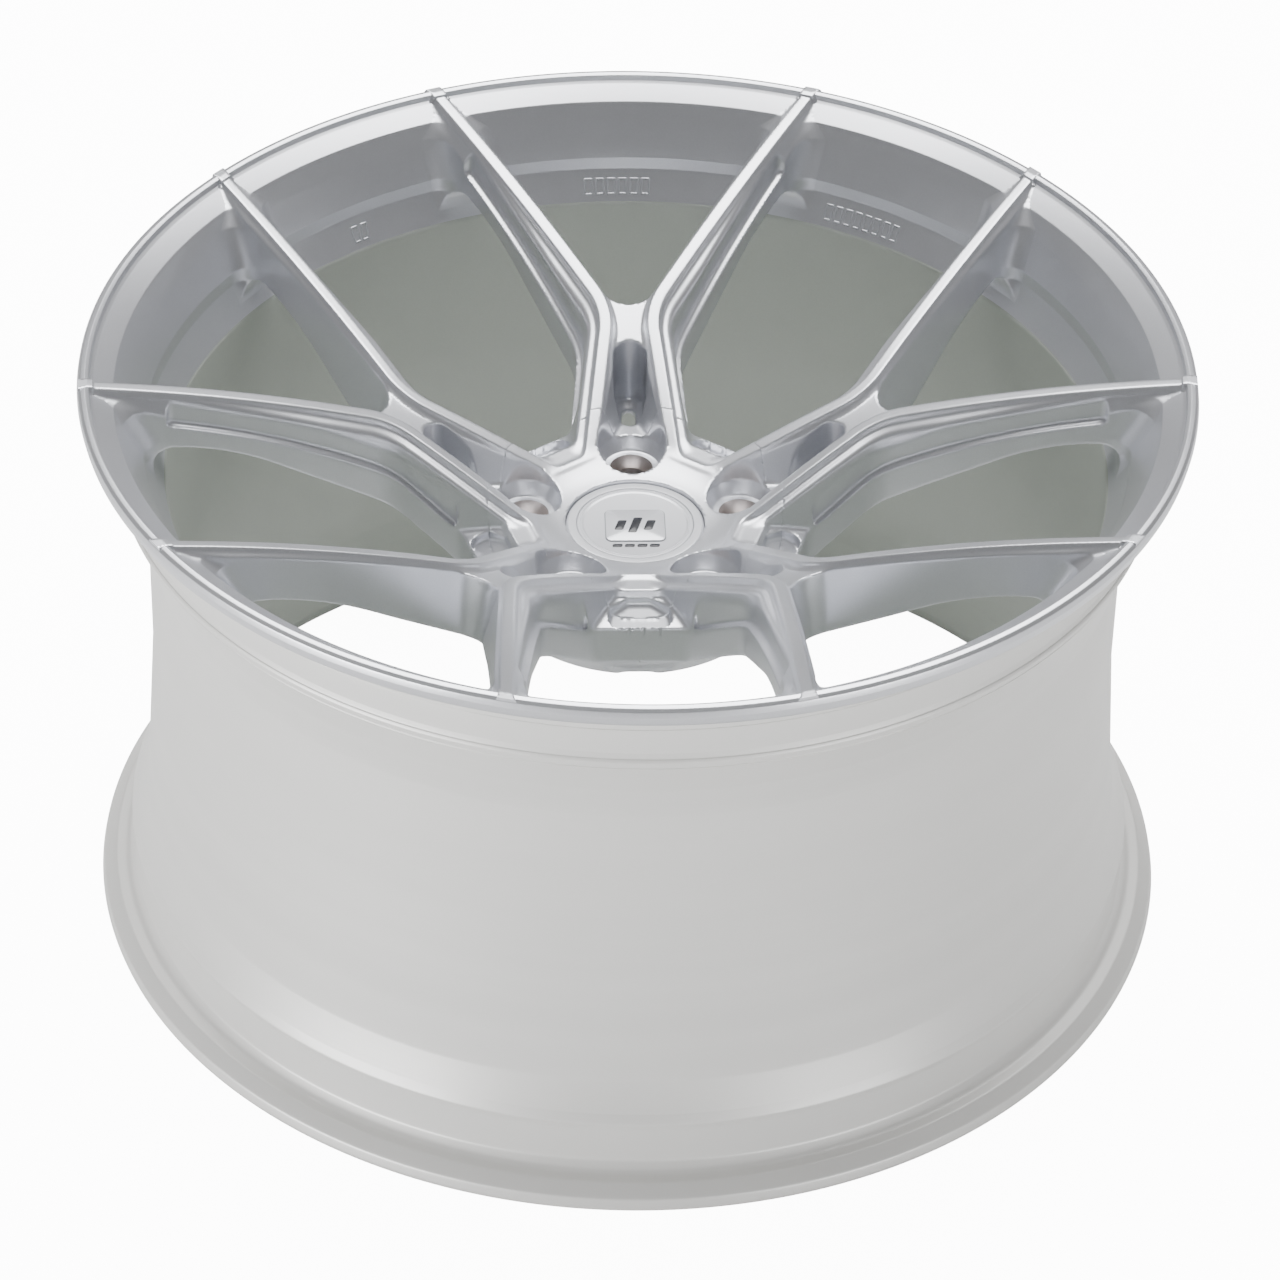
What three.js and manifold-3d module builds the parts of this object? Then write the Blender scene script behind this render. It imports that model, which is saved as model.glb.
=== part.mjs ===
// Forged 20 x 11 racing wheel: one-piece rim with five Y-shaped spokes, centre cap, hub ring,
// lug seats and a clamp-in valve. Millimetres, +Z along the wheel's axis towards its face.
// The origin is the middle of the rear flange's resting plane.
import * as THREE from "three";
import { mergeVertices } from "three/addons/utils/BufferGeometryUtils.js";
import Module from "manifold-3d";

const wasm = await Module();
wasm.setup();

// ---- driving dimensions ----
const flangeRadius = 271.5; // both flanges, outside
const frontPlane = 303.7; // height at which the front flange is widest; depths count down from it
const wheelDepth = 299.2; // from the front flange's widest plane to the rear flange's
const seatRadius = 254; // bead seats, 20 inch
const wellRadius = 240.2; // drop centre, outside
const spokeCount = 5;
const lugCircle = 112; // pitch circle diameter of the bolts
const lugHoleRadius = 7.5;
const lugConeRadius = 10.8; // where the seat's cone meets its top
const padDepth = 135; // mounting pad, below the front plane
const boreRadius = 36.5; // rear counterbore that takes the hub ring
const capRadius = 34.3;
const capBoreRadius = 29; // the hole that the cap's clips hold in
const hubRadius = 73; // the hub forging ends and the spokes begin here
const gap = 0.3; // between neighbouring solids
const above = 320; // cutters reach up to here, clear of the wheel
const below = 100; // and down to here, below the spokes and the hub
const roundSegments = 60; // a multiple of 4 and 5, so that the spokes' cuts fall on the rim's facets
const smallSegments = 20;
const hubSegments = 40;
const lugSegments = 16;

// ---- plain geometry ----
// A closed (radius, height) profile turned about Z.
function turned(points, segments = roundSegments) {
  const profile = points.map(([r, z]) => new THREE.Vector2(r, z));
  profile.push(profile[0].clone());
  const geometry = new THREE.LatheGeometry(profile, segments);
  geometry.rotateX(Math.PI / 2);
  return geometry;
}

// An outline of (x, y) points raised from one height to another.
function raised(points, low, high) {
  const shape = new THREE.Shape(points.map(([x, y]) => new THREE.Vector2(x, y)));
  const geometry = new THREE.ExtrudeGeometry(shape, {
    depth: high - low,
    bevelEnabled: false,
    curveSegments: 8,
  });
  geometry.translate(0, 0, low);
  return geometry;
}

// A cylinder or cone along Z between two heights.
function round(lowRadius, highRadius, low, high, segments = smallSegments) {
  const geometry = new THREE.CylinderGeometry(highRadius, lowRadius, high - low, segments);
  geometry.rotateX(Math.PI / 2);
  geometry.translate(0, 0, (low + high) / 2);
  return geometry;
}

// ---- joining and cutting ----
function solid(geometry) {
  const bare = geometry.clone();
  bare.deleteAttribute("normal");
  bare.deleteAttribute("uv");
  const merged = mergeVertices(bare, 1e-4);
  const made = new wasm.Manifold(
    new wasm.Mesh({
      numProp: 3,
      vertProperties: merged.attributes.position.array,
      triVerts: new Uint32Array(merged.index.array),
    }),
  );
  if (made.volume() > 0) return made;
  const turnedRound = new Uint32Array(merged.index.array).reverse();
  return new wasm.Manifold(
    new wasm.Mesh({
      numProp: 3,
      vertProperties: merged.attributes.position.array,
      triVerts: turnedRound,
    }),
  );
}

function geometryOf(manifold) {
  const mesh = manifold.getMesh();
  const positions = new Float32Array(mesh.numVert * 3);
  for (let i = 0; i < mesh.numVert; i++) {
    const start = i * mesh.numProp;
    positions.set(mesh.vertProperties.subarray(start, start + 3), i * 3);
  }
  const geometry = new THREE.BufferGeometry();
  geometry.setAttribute("position", new THREE.BufferAttribute(positions, 3));
  geometry.setIndex(new THREE.BufferAttribute(mesh.triVerts, 1));
  return geometry;
}

const height = (depth) => frontPlane - depth;

// Straight-line value between (x, y) points.
function along(table, x) {
  if (x <= table[0][0]) return table[0][1];
  for (let i = 1; i < table.length; i++) {
    const [x0, y0] = table[i - 1];
    const [x1, y1] = table[i];
    if (x <= x1) return y0 + ((y1 - y0) * (x - x0)) / (x1 - x0);
  }
  return table[table.length - 1][1];
}

// ---- rim section, as (radius, depth) ----
// Face side, from the front lip in to the rear lip.
const insideSection = [
  [264.8, -1],
  [254.2, 5.2],
  [248.9, 15.4],
  [241.2, 31.5],
  [240, 37.3],
  [230.6, 53.3],
  [230.2, 145],
  [235.6, 225],
  [244.6, 262],
  [247, 287],
  [257, wheelDepth + 2.4],
  [262, wheelDepth + 4.5],
];
// Tyre side, from the rear lip back to the front lip.
const outsideSection = [
  [268, wheelDepth + 4.5],
  [270.8, wheelDepth + 2.5],
  [flangeRadius, wheelDepth],
  [270.6, wheelDepth - 4.5],
  [264, wheelDepth - 9.4],
  [257.5, wheelDepth - 9.9],
  [seatRadius, wheelDepth - 14.5],
  [253.3, wheelDepth - 34],
  [255, wheelDepth - 38],
  [252.5, wheelDepth - 43],
  [244.6, 220],
  [wellRadius, 150],
  [wellRadius, 82],
  [243.5, 64],
  [252.5, 45],
  [255, 39],
  [253.3, 34],
  [seatRadius, 14.5],
  [257.5, 9.9],
  [264, 9.4],
  [270.6, 4.5],
  [flangeRadius, 0],
  [270.4, -3.4],
  [267.6, -4.9],
  [265.2, -4.2],
];

// ---- spoke surfaces, as depth against radius ----
// The ridge's line is a cubic in the radius, flat near the cap.
function ridgeDepth(radius) {
  const x = radius / flangeRadius - 0.6;
  const cubic = 0.1084 - 0.3954 * x + 0.2313 * x * x - 0.0814 * x * x * x;
  return Math.min(92, flangeRadius * cubic);
}
const backDepth = [
  [0, padDepth],
  [66, padDepth],
  [81, 122],
  [109, 99],
  [136, 79.5],
  [163, 62.5],
  [190, 47.5],
  [217, 36],
  [241, 36],
];
// Where the sloping flank ends and the upright window wall starts.
const wallDepth = [
  [0, 116],
  [60, 116],
  [81, 100],
  [109, 79],
  [136, 62],
  [163, 47.5],
  [190, 36.5],
  [217, 27.5],
  [241, 22.5],
];
const shoulderDrop = 4.2; // from the ridge to the shoulders beside it
const spokeRadii = [0, 41, 66, 81, 109, 136, 163, 190, 217, 241, 256, 270.2];

// A revolved layer between two depth functions of the radius.
function layer(top, bottom, radii = spokeRadii) {
  const upper = radii.map((r) => [r, height(top(r))]);
  const lower = radii.map((r) => [r, height(bottom(r))]);
  return solid(turned([...lower, ...upper.reverse()]));
}
const bodyLayer = layer((r) => along(wallDepth, r), (r) => along(backDepth, r));
const flankLayer = layer(
  (r) => ridgeDepth(r) + shoulderDrop,
  (r) => along(wallDepth, r) + 0.5,
);
const ridgeLayer = layer(ridgeDepth, (r) => ridgeDepth(r) + shoulderDrop + 0.5);

// ---- plan of one Y spoke: u runs outwards along its middle, v to its left ----
const ridgeTip = [249, 97.4];
const ridgeKnee = [122.7, 10.8];
const ridgeEnd = [40, 21.8];
const ridgeBend = 32; // radius of the ridge's bend
const wallTip = [243.5, 101.6];
const wallKnee = [118.3, 26];
const wallEnd = [56, 33];
const wallBend = 22.5;
const innerWallNear = [131.4, 0]; // where the small window's two walls would meet
const innerWallTip = [249, 91.7];
const notchRadius = 8; // rounding of the small window's hub end

// Points of a path of two straight runs with a rounded corner.
function bentPath(start, corner, end, radius, steps = 5) {
  const from = new THREE.Vector2(...start);
  const at = new THREE.Vector2(...corner);
  const to = new THREE.Vector2(...end);
  const a = from.clone().sub(at).normalize();
  const b = to.clone().sub(at).normalize();
  const half = Math.acos(a.dot(b)) / 2;
  const reach = radius / Math.tan(half);
  const first = at.clone().addScaledVector(a, reach);
  const last = at.clone().addScaledVector(b, reach);
  const points = [from];
  for (let i = 0; i <= steps; i++) {
    const t = i / steps;
    const p = first.clone().multiplyScalar((1 - t) * (1 - t));
    p.addScaledVector(at, 2 * t * (1 - t)).addScaledVector(last, t * t);
    points.push(p);
  }
  points.push(to);
  return points.map((p) => [p.x, p.y]);
}

const mirrored = (points) => points.map(([u, v]) => [u, -v]).reverse();

// Both sides of the Y at one share of the way from the ridge out to the window walls.
function spokePlan(share, notchAt) {
  const mix = (p, q) => [p[0] + (q[0] - p[0]) * share, p[1] + (q[1] - p[1]) * share];
  const outer = bentPath(
    mix(ridgeTip, wallTip),
    mix(ridgeKnee, wallKnee),
    mix(ridgeEnd, wallEnd),
    ridgeBend + (wallBend - ridgeBend) * share,
  );
  const innerTip = mix(ridgeTip, innerWallTip);
  const slope = (innerTip[1] - notchRadius) / (innerTip[0] - notchAt);
  const notch = [];
  for (let i = 0; i <= 4; i++) {
    const angle = (Math.PI / 2) * (1 - i / 4);
    notch.push([notchAt + notchRadius * (1 - Math.cos(angle)) * slope, notchRadius * Math.sin(angle)]);
  }
  const half = [...outer].reverse();
  return [...half, innerTip, ...notch, ...mirrored([...half, innerTip, ...notch.slice(0, -1)])];
}

// One leg's ridge, from the hub out to the lip.
function ridgePlan(side) {
  const middle = bentPath(ridgeTip, ridgeKnee, ridgeEnd, ridgeBend);
  const edge = (sign) =>
    middle.map(([u, v], i) => {
      const next = middle[Math.min(i + 1, middle.length - 1)];
      const last = middle[Math.max(i - 1, 0)];
      const run = Math.hypot(next[0] - last[0], next[1] - last[1]);
      const halfWidth = i === 0 ? 2.2 : 3;
      return [
        u + (sign * halfWidth * (next[1] - last[1])) / run,
        v - (sign * halfWidth * (next[0] - last[0])) / run,
      ];
    });
  return [...edge(1), ...edge(-1).reverse()].map(([u, v]) => [u, v * side]);
}

const polar = (radius, degrees) => [
  radius * Math.cos((degrees * Math.PI) / 180),
  radius * Math.sin((degrees * Math.PI) / 180),
];

// ---- pockets around one lug, cut into the hub and the root of the Y ----
// Outline round two circles on the Y's middle line, given as [middle, radius].
function roundedSlot(outer, inner, steps = 4) {
  const half = [];
  for (let i = 0; i <= steps; i++) {
    const [x, y] = polar(outer[1], (84 * i) / steps);
    half.push([outer[0] + x, y]);
  }
  for (let i = 0; i <= steps; i++) {
    const [x, y] = polar(inner[1], 84 + (96 * i) / steps);
    half.push([inner[0] + x, i === steps ? 0 : y]);
  }
  return [...half, ...mirrored(half.slice(1, -1))];
}
const lugMiddle = lugCircle / 2;
const shelfDepth = 89; // floor between the two ridges
const shelfOutline = roundedSlot([100, 9.2], [lugMiddle, 17.2]);
const deepPocketDepth = 96; // pocket beyond the shelf, towards the fork
const deepPocketOutline = roundedSlot([101, 8.6], [88, 8.6]);
const drainOutline = roundedSlot([103.4, 3.3], [95, 3.3], 3); // opens that pocket to the back
const lugBoreRadius = 13.8;
const lugBoreDepth = 98; // top of the lug seat
const seatRingRadius = 13.2;
const seatHeight = 14;

const valveAngle = 78; // behind a spoke's leg
const capSeatDepth = 97.5;

// ---- materials ----
const paint = (color, roughness, metalness) =>
  new THREE.MeshStandardMaterial({ color, roughness, metalness });
const silverPaint = paint(0xc9cbd2, 0.38, 0.6);
const barrelMetal = paint(0xc6c7c6, 0.42, 0.7);
const bareSeat = paint(0xb3aaa4, 0.4, 0.85);
const capSilver = paint(0xe6e7ec, 0.35, 0.3);
const blackInk = paint(0x15161c, 0.5, 0);
const springSteel = paint(0x8f9296, 0.3, 1);
const blackNylon = paint(0x1d1e20, 0.6, 0);
const rubber = paint(0x18191a, 0.85, 0);
const anodised = paint(0xb9bbbe, 0.3, 0.9);
const brass = paint(0xb49a5c, 0.35, 1);

const wheel = new THREE.Group();
function add(name, geometry, material) {
  const mesh = new THREE.Mesh(geometry, material);
  mesh.name = name;
  wheel.add(mesh);
  return mesh;
}
const asGroup = (points) => points.map(([r, d]) => [r, height(d)]);

// ---- rim barrel ----
// The valve leans out of the drop centre towards the face.
const valveLean = 18; // degrees towards the face from pointing at the axle
const valveFoot = { radius: 235.6, depth: 76 }; // middle of the rim wall at the valve
const valveFrame = new THREE.Matrix4();
{
  const [cx, cy] = polar(1, valveAngle);
  const lean = (valveLean * Math.PI) / 180;
  const axis = new THREE.Vector3(-cx * Math.cos(lean), -cy * Math.cos(lean), Math.sin(lean));
  const turn = new THREE.Quaternion().setFromUnitVectors(new THREE.Vector3(0, 0, 1), axis);
  valveFrame.compose(
    new THREE.Vector3(cx * valveFoot.radius, cy * valveFoot.radius, height(valveFoot.depth)),
    turn,
    new THREE.Vector3(1, 1, 1),
  );
}
const inValveFrame = (geometry) => geometry.applyMatrix4(valveFrame);

const valveHoleRadius = 5.7;
const valveSeatHeight = 2.6; // flat spotface for the nut, above the wall's middle
const valveSealHeight = -4.4; // and for the seal, on the tyre side
const rimSection = [...asGroup(insideSection), ...asGroup(outsideSection)];
const rimBarrel = solid(turned(rimSection))
  .subtract(solid(inValveFrame(round(valveHoleRadius, valveHoleRadius, -30, 30, 20))))
  .subtract(solid(inValveFrame(round(10, 10, valveSeatHeight, 26, 20))))
  .subtract(solid(inValveFrame(round(10.5, 10.5, -30, valveSealHeight, 20))));
add("rim_barrel", geometryOf(rimBarrel), barrelMetal);

// The rim's section grown by the gap, to trim the spokes' outer ends.
const clearance = solid(
  turned([
    ...insideSection.map(([r, d]) => [r - gap, height(d) + gap]),
    [280, height(wheelDepth)],
    [280, height(-5.4)],
    [265, height(-5.0)],
  ]),
);

// ---- hub and spokes share one star-shaped body, parted at the hub radius ----
function turnedBy(manifold, degrees) {
  return manifold.rotate([0, 0, degrees]);
}

const notchBody = 131;
const bodyPlan = solid(raised(spokePlan(1, notchBody), below, above));
const flankPlan = solid(raised(spokePlan(0.55, notchBody - 1), below, above));
const ridgePlans = [1, -1].map((side) => solid(raised(ridgePlan(side), below, above)));
const pocketCut = solid(raised(shelfOutline, height(shelfDepth), above))
  .add(solid(raised(deepPocketOutline, height(deepPocketDepth), above)))
  .add(solid(raised(drainOutline, below, above)));
const seatFloorDepth = lugBoreDepth + seatHeight;
const lugHole = lugHoleRadius + 1.4;
const seatPocket = round(lugBoreRadius, lugBoreRadius, height(seatFloorDepth + gap), above, lugSegments);
const lugDrill = solid(seatPocket)
  .add(solid(round(lugHole, lugHole, below, height(seatFloorDepth), lugSegments)))
  .translate([lugMiddle, 0, 0]);

const ySolid = bodyLayer
  .intersect(bodyPlan)
  .add(flankLayer.intersect(flankPlan))
  .add(ridgeLayer.intersect(ridgePlans[0]))
  .add(ridgeLayer.intersect(ridgePlans[1]))
  .subtract(pocketCut);

const spokeRing = solid(
  turned([
    [hubRadius + gap, below],
    [300, below],
    [300, above],
    [hubRadius + gap, above],
  ]),
);
const spokeSolid = ySolid.intersect(spokeRing).subtract(clearance);
for (let i = 0; i < spokeCount; i++) {
  const angle = 90 + (360 / spokeCount) * i;
  add(`y_spoke_${i + 1}`, geometryOf(turnedBy(spokeSolid, angle)), silverPaint);
}

// ---- hub ----
const hubDisc = solid(
  turned([
    [0, height(padDepth)],
    [62, height(padDepth)],
    [62, height(114)],
    [50, height(98)],
    [44, height(92)],
    [0, height(92)],
  ]),
);
const hubCore = solid(round(hubRadius, hubRadius, below, above, roundSegments));
let hub = hubDisc;
for (let i = 0; i < spokeCount; i++) {
  const angle = 90 + (360 / spokeCount) * i;
  hub = hub.add(turnedBy(ySolid.intersect(hubCore), angle));
}
for (let i = 0; i < spokeCount; i++) {
  const angle = 90 + (360 / spokeCount) * i;
  hub = hub.subtract(turnedBy(pocketCut, angle)).subtract(turnedBy(lugDrill, angle));
  // The D-shaped lightening pocket between two spokes.
  const facePocket = solid(round(5.5, 5.5, height(108), above, 12))
    .scale([1, 1.6, 1])
    .translate([55.5, 0, 0]);
  hub = hub.subtract(turnedBy(facePocket, angle + 36));
}
hub = hub
  .subtract(solid(round(capRadius + gap, capRadius + gap, height(capSeatDepth), above, hubSegments)))
  .subtract(solid(round(capBoreRadius, capBoreRadius, below, above, hubSegments)))
  .subtract(solid(round(boreRadius, boreRadius, below, height(padDepth - 12), hubSegments)));
add("wheel_hub", geometryOf(hub), silverPaint);

// ---- lug seats: bare cone rings in the pocket floors ----
const coneDepth = 6;
const seatRing = turned(
  [
    [lugHoleRadius, height(seatFloorDepth)],
    [seatRingRadius, height(seatFloorDepth)],
    [seatRingRadius, height(lugBoreDepth)],
    [lugConeRadius, height(lugBoreDepth)],
    [lugHoleRadius, height(lugBoreDepth + coneDepth)],
  ],
  lugSegments,
);
for (let i = 0; i < spokeCount; i++) {
  const angle = 90 + (360 / spokeCount) * i;
  const seat = add(`lug_seat_${i + 1}`, seatRing.clone(), bareSeat);
  const [x, y] = polar(lugMiddle, angle);
  seat.position.set(x, y, 0);
}

// ---- hub ring, in the rear counterbore ----
add(
  "hub_ring",
  turned(
    [
      [33.3, height(padDepth)],
      [boreRadius - gap, height(padDepth)],
      [boreRadius - gap, height(padDepth - 11)],
      [33.3, height(padDepth - 11)],
    ],
    hubSegments,
  ),
  blackNylon,
);

// ---- centre cap ----
const capFaceDepth = 91.6;
const clipLength = 15;
// A shallow cup whose rim sits in the hub's recess, with a skirt split into clip legs.
let capBody = solid(
  turned(
    [
      [0, height(capSeatDepth - gap)],
      [capRadius, height(capSeatDepth - gap)],
      [capRadius, height(capFaceDepth + 0.8)],
      [capRadius - 1, height(capFaceDepth)],
      [capRadius - 5, height(capFaceDepth)],
      [capRadius - 5, height(capFaceDepth + 3)],
      [0, height(capFaceDepth + 3)],
    ],
    hubSegments,
  ),
);
const skirt = solid(
  turned(
    [
      [26.2, height(capSeatDepth + clipLength)],
      [28, height(capSeatDepth + clipLength)],
      [28.7, height(capSeatDepth + clipLength - 2)],
      [28, height(capSeatDepth + clipLength - 4)],
      [28, height(capSeatDepth - 1)],
      [26.2, height(capSeatDepth - 1)],
    ],
    hubSegments,
  ),
);
let clips = skirt;
for (let i = 0; i < 6; i++) {
  const slit = solid(raised([[20, -4], [32, -4], [32, 4], [20, 4]], 150, height(capSeatDepth + 1)));
  clips = clips.subtract(turnedBy(slit, i * 60));
}
add("cap_body", geometryOf(capBody.add(clips)), capSilver);
add(
  "cap_plate",
  turned(
    [
      [0, height(capFaceDepth + 3 - gap)],
      [capRadius - 5 - gap, height(capFaceDepth + 3 - gap)],
      [capRadius - 5 - gap, height(capFaceDepth + 0.9)],
      [27.3, height(capFaceDepth + 0.4)],
      [26.6, height(capFaceDepth + 0.8)],
      [0, height(capFaceDepth + 0.8)],
    ],
    hubSegments,
  ),
  capSilver,
);
// The badge: a plain rounded plate let into the cap's face.
const badgeWidth = 30;
const badgeHeight = 26;
const badgeCorner = 3;
const badgeMiddle = -2; // a little nearer the valve than the wheel's axis
const badgeShape = new THREE.Shape();
const [badgeX, badgeY] = [badgeWidth / 2, badgeHeight / 2];
badgeShape.moveTo(-badgeX + badgeCorner, -badgeY);
badgeShape.lineTo(badgeX - badgeCorner, -badgeY);
badgeShape.quadraticCurveTo(badgeX, -badgeY, badgeX, -badgeY + badgeCorner);
badgeShape.lineTo(badgeX, badgeY - badgeCorner);
badgeShape.quadraticCurveTo(badgeX, badgeY, badgeX - badgeCorner, badgeY);
badgeShape.lineTo(-badgeX + badgeCorner, badgeY);
badgeShape.quadraticCurveTo(-badgeX, badgeY, -badgeX, badgeY - badgeCorner);
badgeShape.lineTo(-badgeX, -badgeY + badgeCorner);
badgeShape.quadraticCurveTo(-badgeX, -badgeY, -badgeX + badgeCorner, -badgeY);
const badge = add(
  "cap_badge",
  new THREE.ExtrudeGeometry(badgeShape, { depth: 0.8, bevelEnabled: false, curveSegments: 4 }),
  blackInk,
);
badge.position.set(0, badgeMiddle, height(capFaceDepth + 0.8 - gap));
// The wire ring that spreads the clip legs.
const wire = new THREE.TorusGeometry(24.8, 0.9, 6, 30);
const capSpring = add("cap_spring_ring", wire, springSteel);
capSpring.position.z = height(capSeatDepth + clipLength - 4);

// ---- valve, along its own axis ----
function valvePiece(name, profile, material, segments = 20) {
  return add(name, inValveFrame(turned(profile, segments)), material);
}
const boreOfStem = 2.2;
valvePiece(
  "valve_stem",
  [
    [boreOfStem, -9],
    [8, -9],
    [8, -7],
    [5.2, -6.4],
    [5.2, 12],
    [3.85, 13],
    [3.85, 38],
    [boreOfStem, 38],
  ],
  anodised,
);
valvePiece(
  "valve_seal",
  [
    [5.5, -6.2],
    [8.2, -6.7],
    [8.8, valveSealHeight - gap],
    [5.5, valveSealHeight - gap],
  ],
  rubber,
);
valvePiece(
  "valve_washer",
  [
    [5.6, valveSeatHeight + gap],
    [8.9, valveSeatHeight + gap],
    [8.9, valveSeatHeight + gap + 1],
    [5.6, valveSeatHeight + gap + 1],
  ],
  anodised,
);
const nutLow = valveSeatHeight + 2 * gap + 1;
const nut = solid(inValveFrame(round(7.6, 7.6, nutLow, nutLow + 4.6, 6))).subtract(
  solid(inValveFrame(round(5.5, 5.5, 0, 30, 20))),
);
add("valve_nut", geometryOf(nut), anodised);
valvePiece(
  "valve_core",
  [
    [0.9, 20],
    [boreOfStem - gap, 20],
    [boreOfStem - gap, 36.2],
    [0.9, 36.2],
  ],
  brass,
  14,
);
valvePiece(
  "valve_core_pin",
  [
    [0, 16],
    [1.5, 16],
    [1.5, 18.2],
    [0.6, 18.2],
    [0.6, 37.4],
    [0, 37.4],
  ],
  brass,
  12,
);
valvePiece(
  "valve_cap_seal",
  [
    [1.2, 38.4],
    [3.7, 38.4],
    [3.7, 39.6],
    [1.2, 39.6],
  ],
  rubber,
  16,
);
valvePiece(
  "valve_cap",
  [
    [4.2, 30],
    [5.1, 30],
    [5.1, 40.5],
    [4.3, 41.6],
    [0, 41.6],
    [0, 39.9],
    [4.2, 39.9],
  ],
  anodised,
  20,
);

export default wheel;
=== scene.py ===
# Forged wheel with five Y-shaped spokes, lying face up on a pale studio floor.
# Shapes are worked out in millimetres and go into the meshes in metres.
# "depth" counts down from the plane where the front flange is widest.
import math

import bpy
import numpy as np
from mathutils import Matrix, Vector


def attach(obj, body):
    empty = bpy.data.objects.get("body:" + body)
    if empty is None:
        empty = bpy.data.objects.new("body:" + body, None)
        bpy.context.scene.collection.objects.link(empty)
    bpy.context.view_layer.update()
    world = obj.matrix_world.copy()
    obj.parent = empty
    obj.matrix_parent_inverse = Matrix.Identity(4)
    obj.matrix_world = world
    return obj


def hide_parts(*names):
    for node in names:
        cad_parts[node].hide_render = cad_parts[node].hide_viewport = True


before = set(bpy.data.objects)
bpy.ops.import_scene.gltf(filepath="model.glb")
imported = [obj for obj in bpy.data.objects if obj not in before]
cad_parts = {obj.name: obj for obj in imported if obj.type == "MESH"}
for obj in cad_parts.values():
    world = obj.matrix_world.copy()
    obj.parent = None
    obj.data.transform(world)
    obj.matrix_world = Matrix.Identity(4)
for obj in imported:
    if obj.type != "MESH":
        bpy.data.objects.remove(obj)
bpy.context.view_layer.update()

mm = 0.001
wheel = {
    "frontPlane": 303.7,
    "flangeRadius": 271.5,
    "spokes": 5,
    "firstSpoke": 90.0,
    "hubEdge": 73.0,  # the hub piece ends and the spoke pieces begin here
}


def heightOf(depth):
    return wheel["frontPlane"] - depth


# The camera stands in front of the wheel and looks down on it, leaning a little.
view = {
    "distance": 2.667,
    "elevation": 37.39,
    "azimuth": 2.593,  # to the wheel's left of straight in front
    "roll": 1.301,
    "lens": 149.35,
    "shift": (0.0055, -0.0191),
    "aimHeight": 0.1541,
}


def makeCamera():
    azimuth = math.radians(view["azimuth"])
    elevation = math.radians(view["elevation"])
    roll = math.radians(view["roll"])
    away = np.array([-math.sin(azimuth), -math.cos(azimuth), 0.0])
    toCamera = away * math.cos(elevation) + np.array([0, 0, math.sin(elevation)])
    right = np.cross(-toCamera, [0, 0, 1.0])
    right /= np.linalg.norm(right)
    up = np.cross(right, -toCamera)
    turnedRight = math.cos(roll) * right + math.sin(roll) * up
    turnedUp = np.cross(toCamera, turnedRight)
    place = toCamera * view["distance"] + np.array([0, 0, view["aimHeight"]])
    data = bpy.data.cameras.new("camera")
    data.lens = view["lens"]
    data.sensor_width = 36
    data.shift_x, data.shift_y = view["shift"]
    data.clip_end = 30
    camera = bpy.data.objects.new("camera", data)
    bpy.context.collection.objects.link(camera)
    rows = [[turnedRight[i], turnedUp[i], toCamera[i], place[i]] for i in range(3)]
    camera.matrix_world = Matrix(rows + [[0, 0, 0, 1]])
    bpy.context.scene.camera = camera


makeCamera()


def makeObject(name, vertices, faces, materials, body, replaced=(), slotName=None, sharp=None, zones=None):
    # vertices: (n, 3) array in millimetres; faces: (m, 3) or (m, 4) array of indices;
    # zones: which of the materials each face has.
    mesh = bpy.data.meshes.new(name)
    faces = np.asarray(faces, dtype=np.int32)
    sides = faces.shape[1]
    mesh.vertices.add(len(vertices))
    mesh.vertices.foreach_set("co", (np.asarray(vertices, dtype=np.float64) * mm).ravel())
    mesh.loops.add(faces.size)
    mesh.loops.foreach_set("vertex_index", faces.ravel())
    mesh.polygons.add(len(faces))
    mesh.polygons.foreach_set("loop_start", np.arange(0, faces.size, sides, dtype=np.int32))
    for material in materials if isinstance(materials, (list, tuple)) else [materials]:
        mesh.materials.append(material)
    if zones is not None:
        mesh.polygons.foreach_set("material_index", np.asarray(zones, dtype=np.int32))
    mesh.update(calc_edges=True)
    mesh.shade_smooth()
    if sharp:
        mesh.set_sharp_from_angle(angle=math.radians(sharp))
    piece = bpy.data.objects.new(name, mesh)
    bpy.context.collection.objects.link(piece)
    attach(piece, body)
    if replaced:
        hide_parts(*replaced)
    return piece


def gridFaces(rows, columns, wrapRows=True, wrapColumns=True):
    # Quads between neighbouring samples of a rows x columns grid.
    i = np.arange(rows if wrapRows else rows - 1)[:, None]
    j = np.arange(columns if wrapColumns else columns - 1)[None, :]
    i2 = (i + 1) % rows
    j2 = (j + 1) % columns
    quads = np.stack([i * columns + j, i2 * columns + j, i2 * columns + j2, i * columns + j2], axis=-1)
    return quads.reshape(-1, 4)


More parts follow.
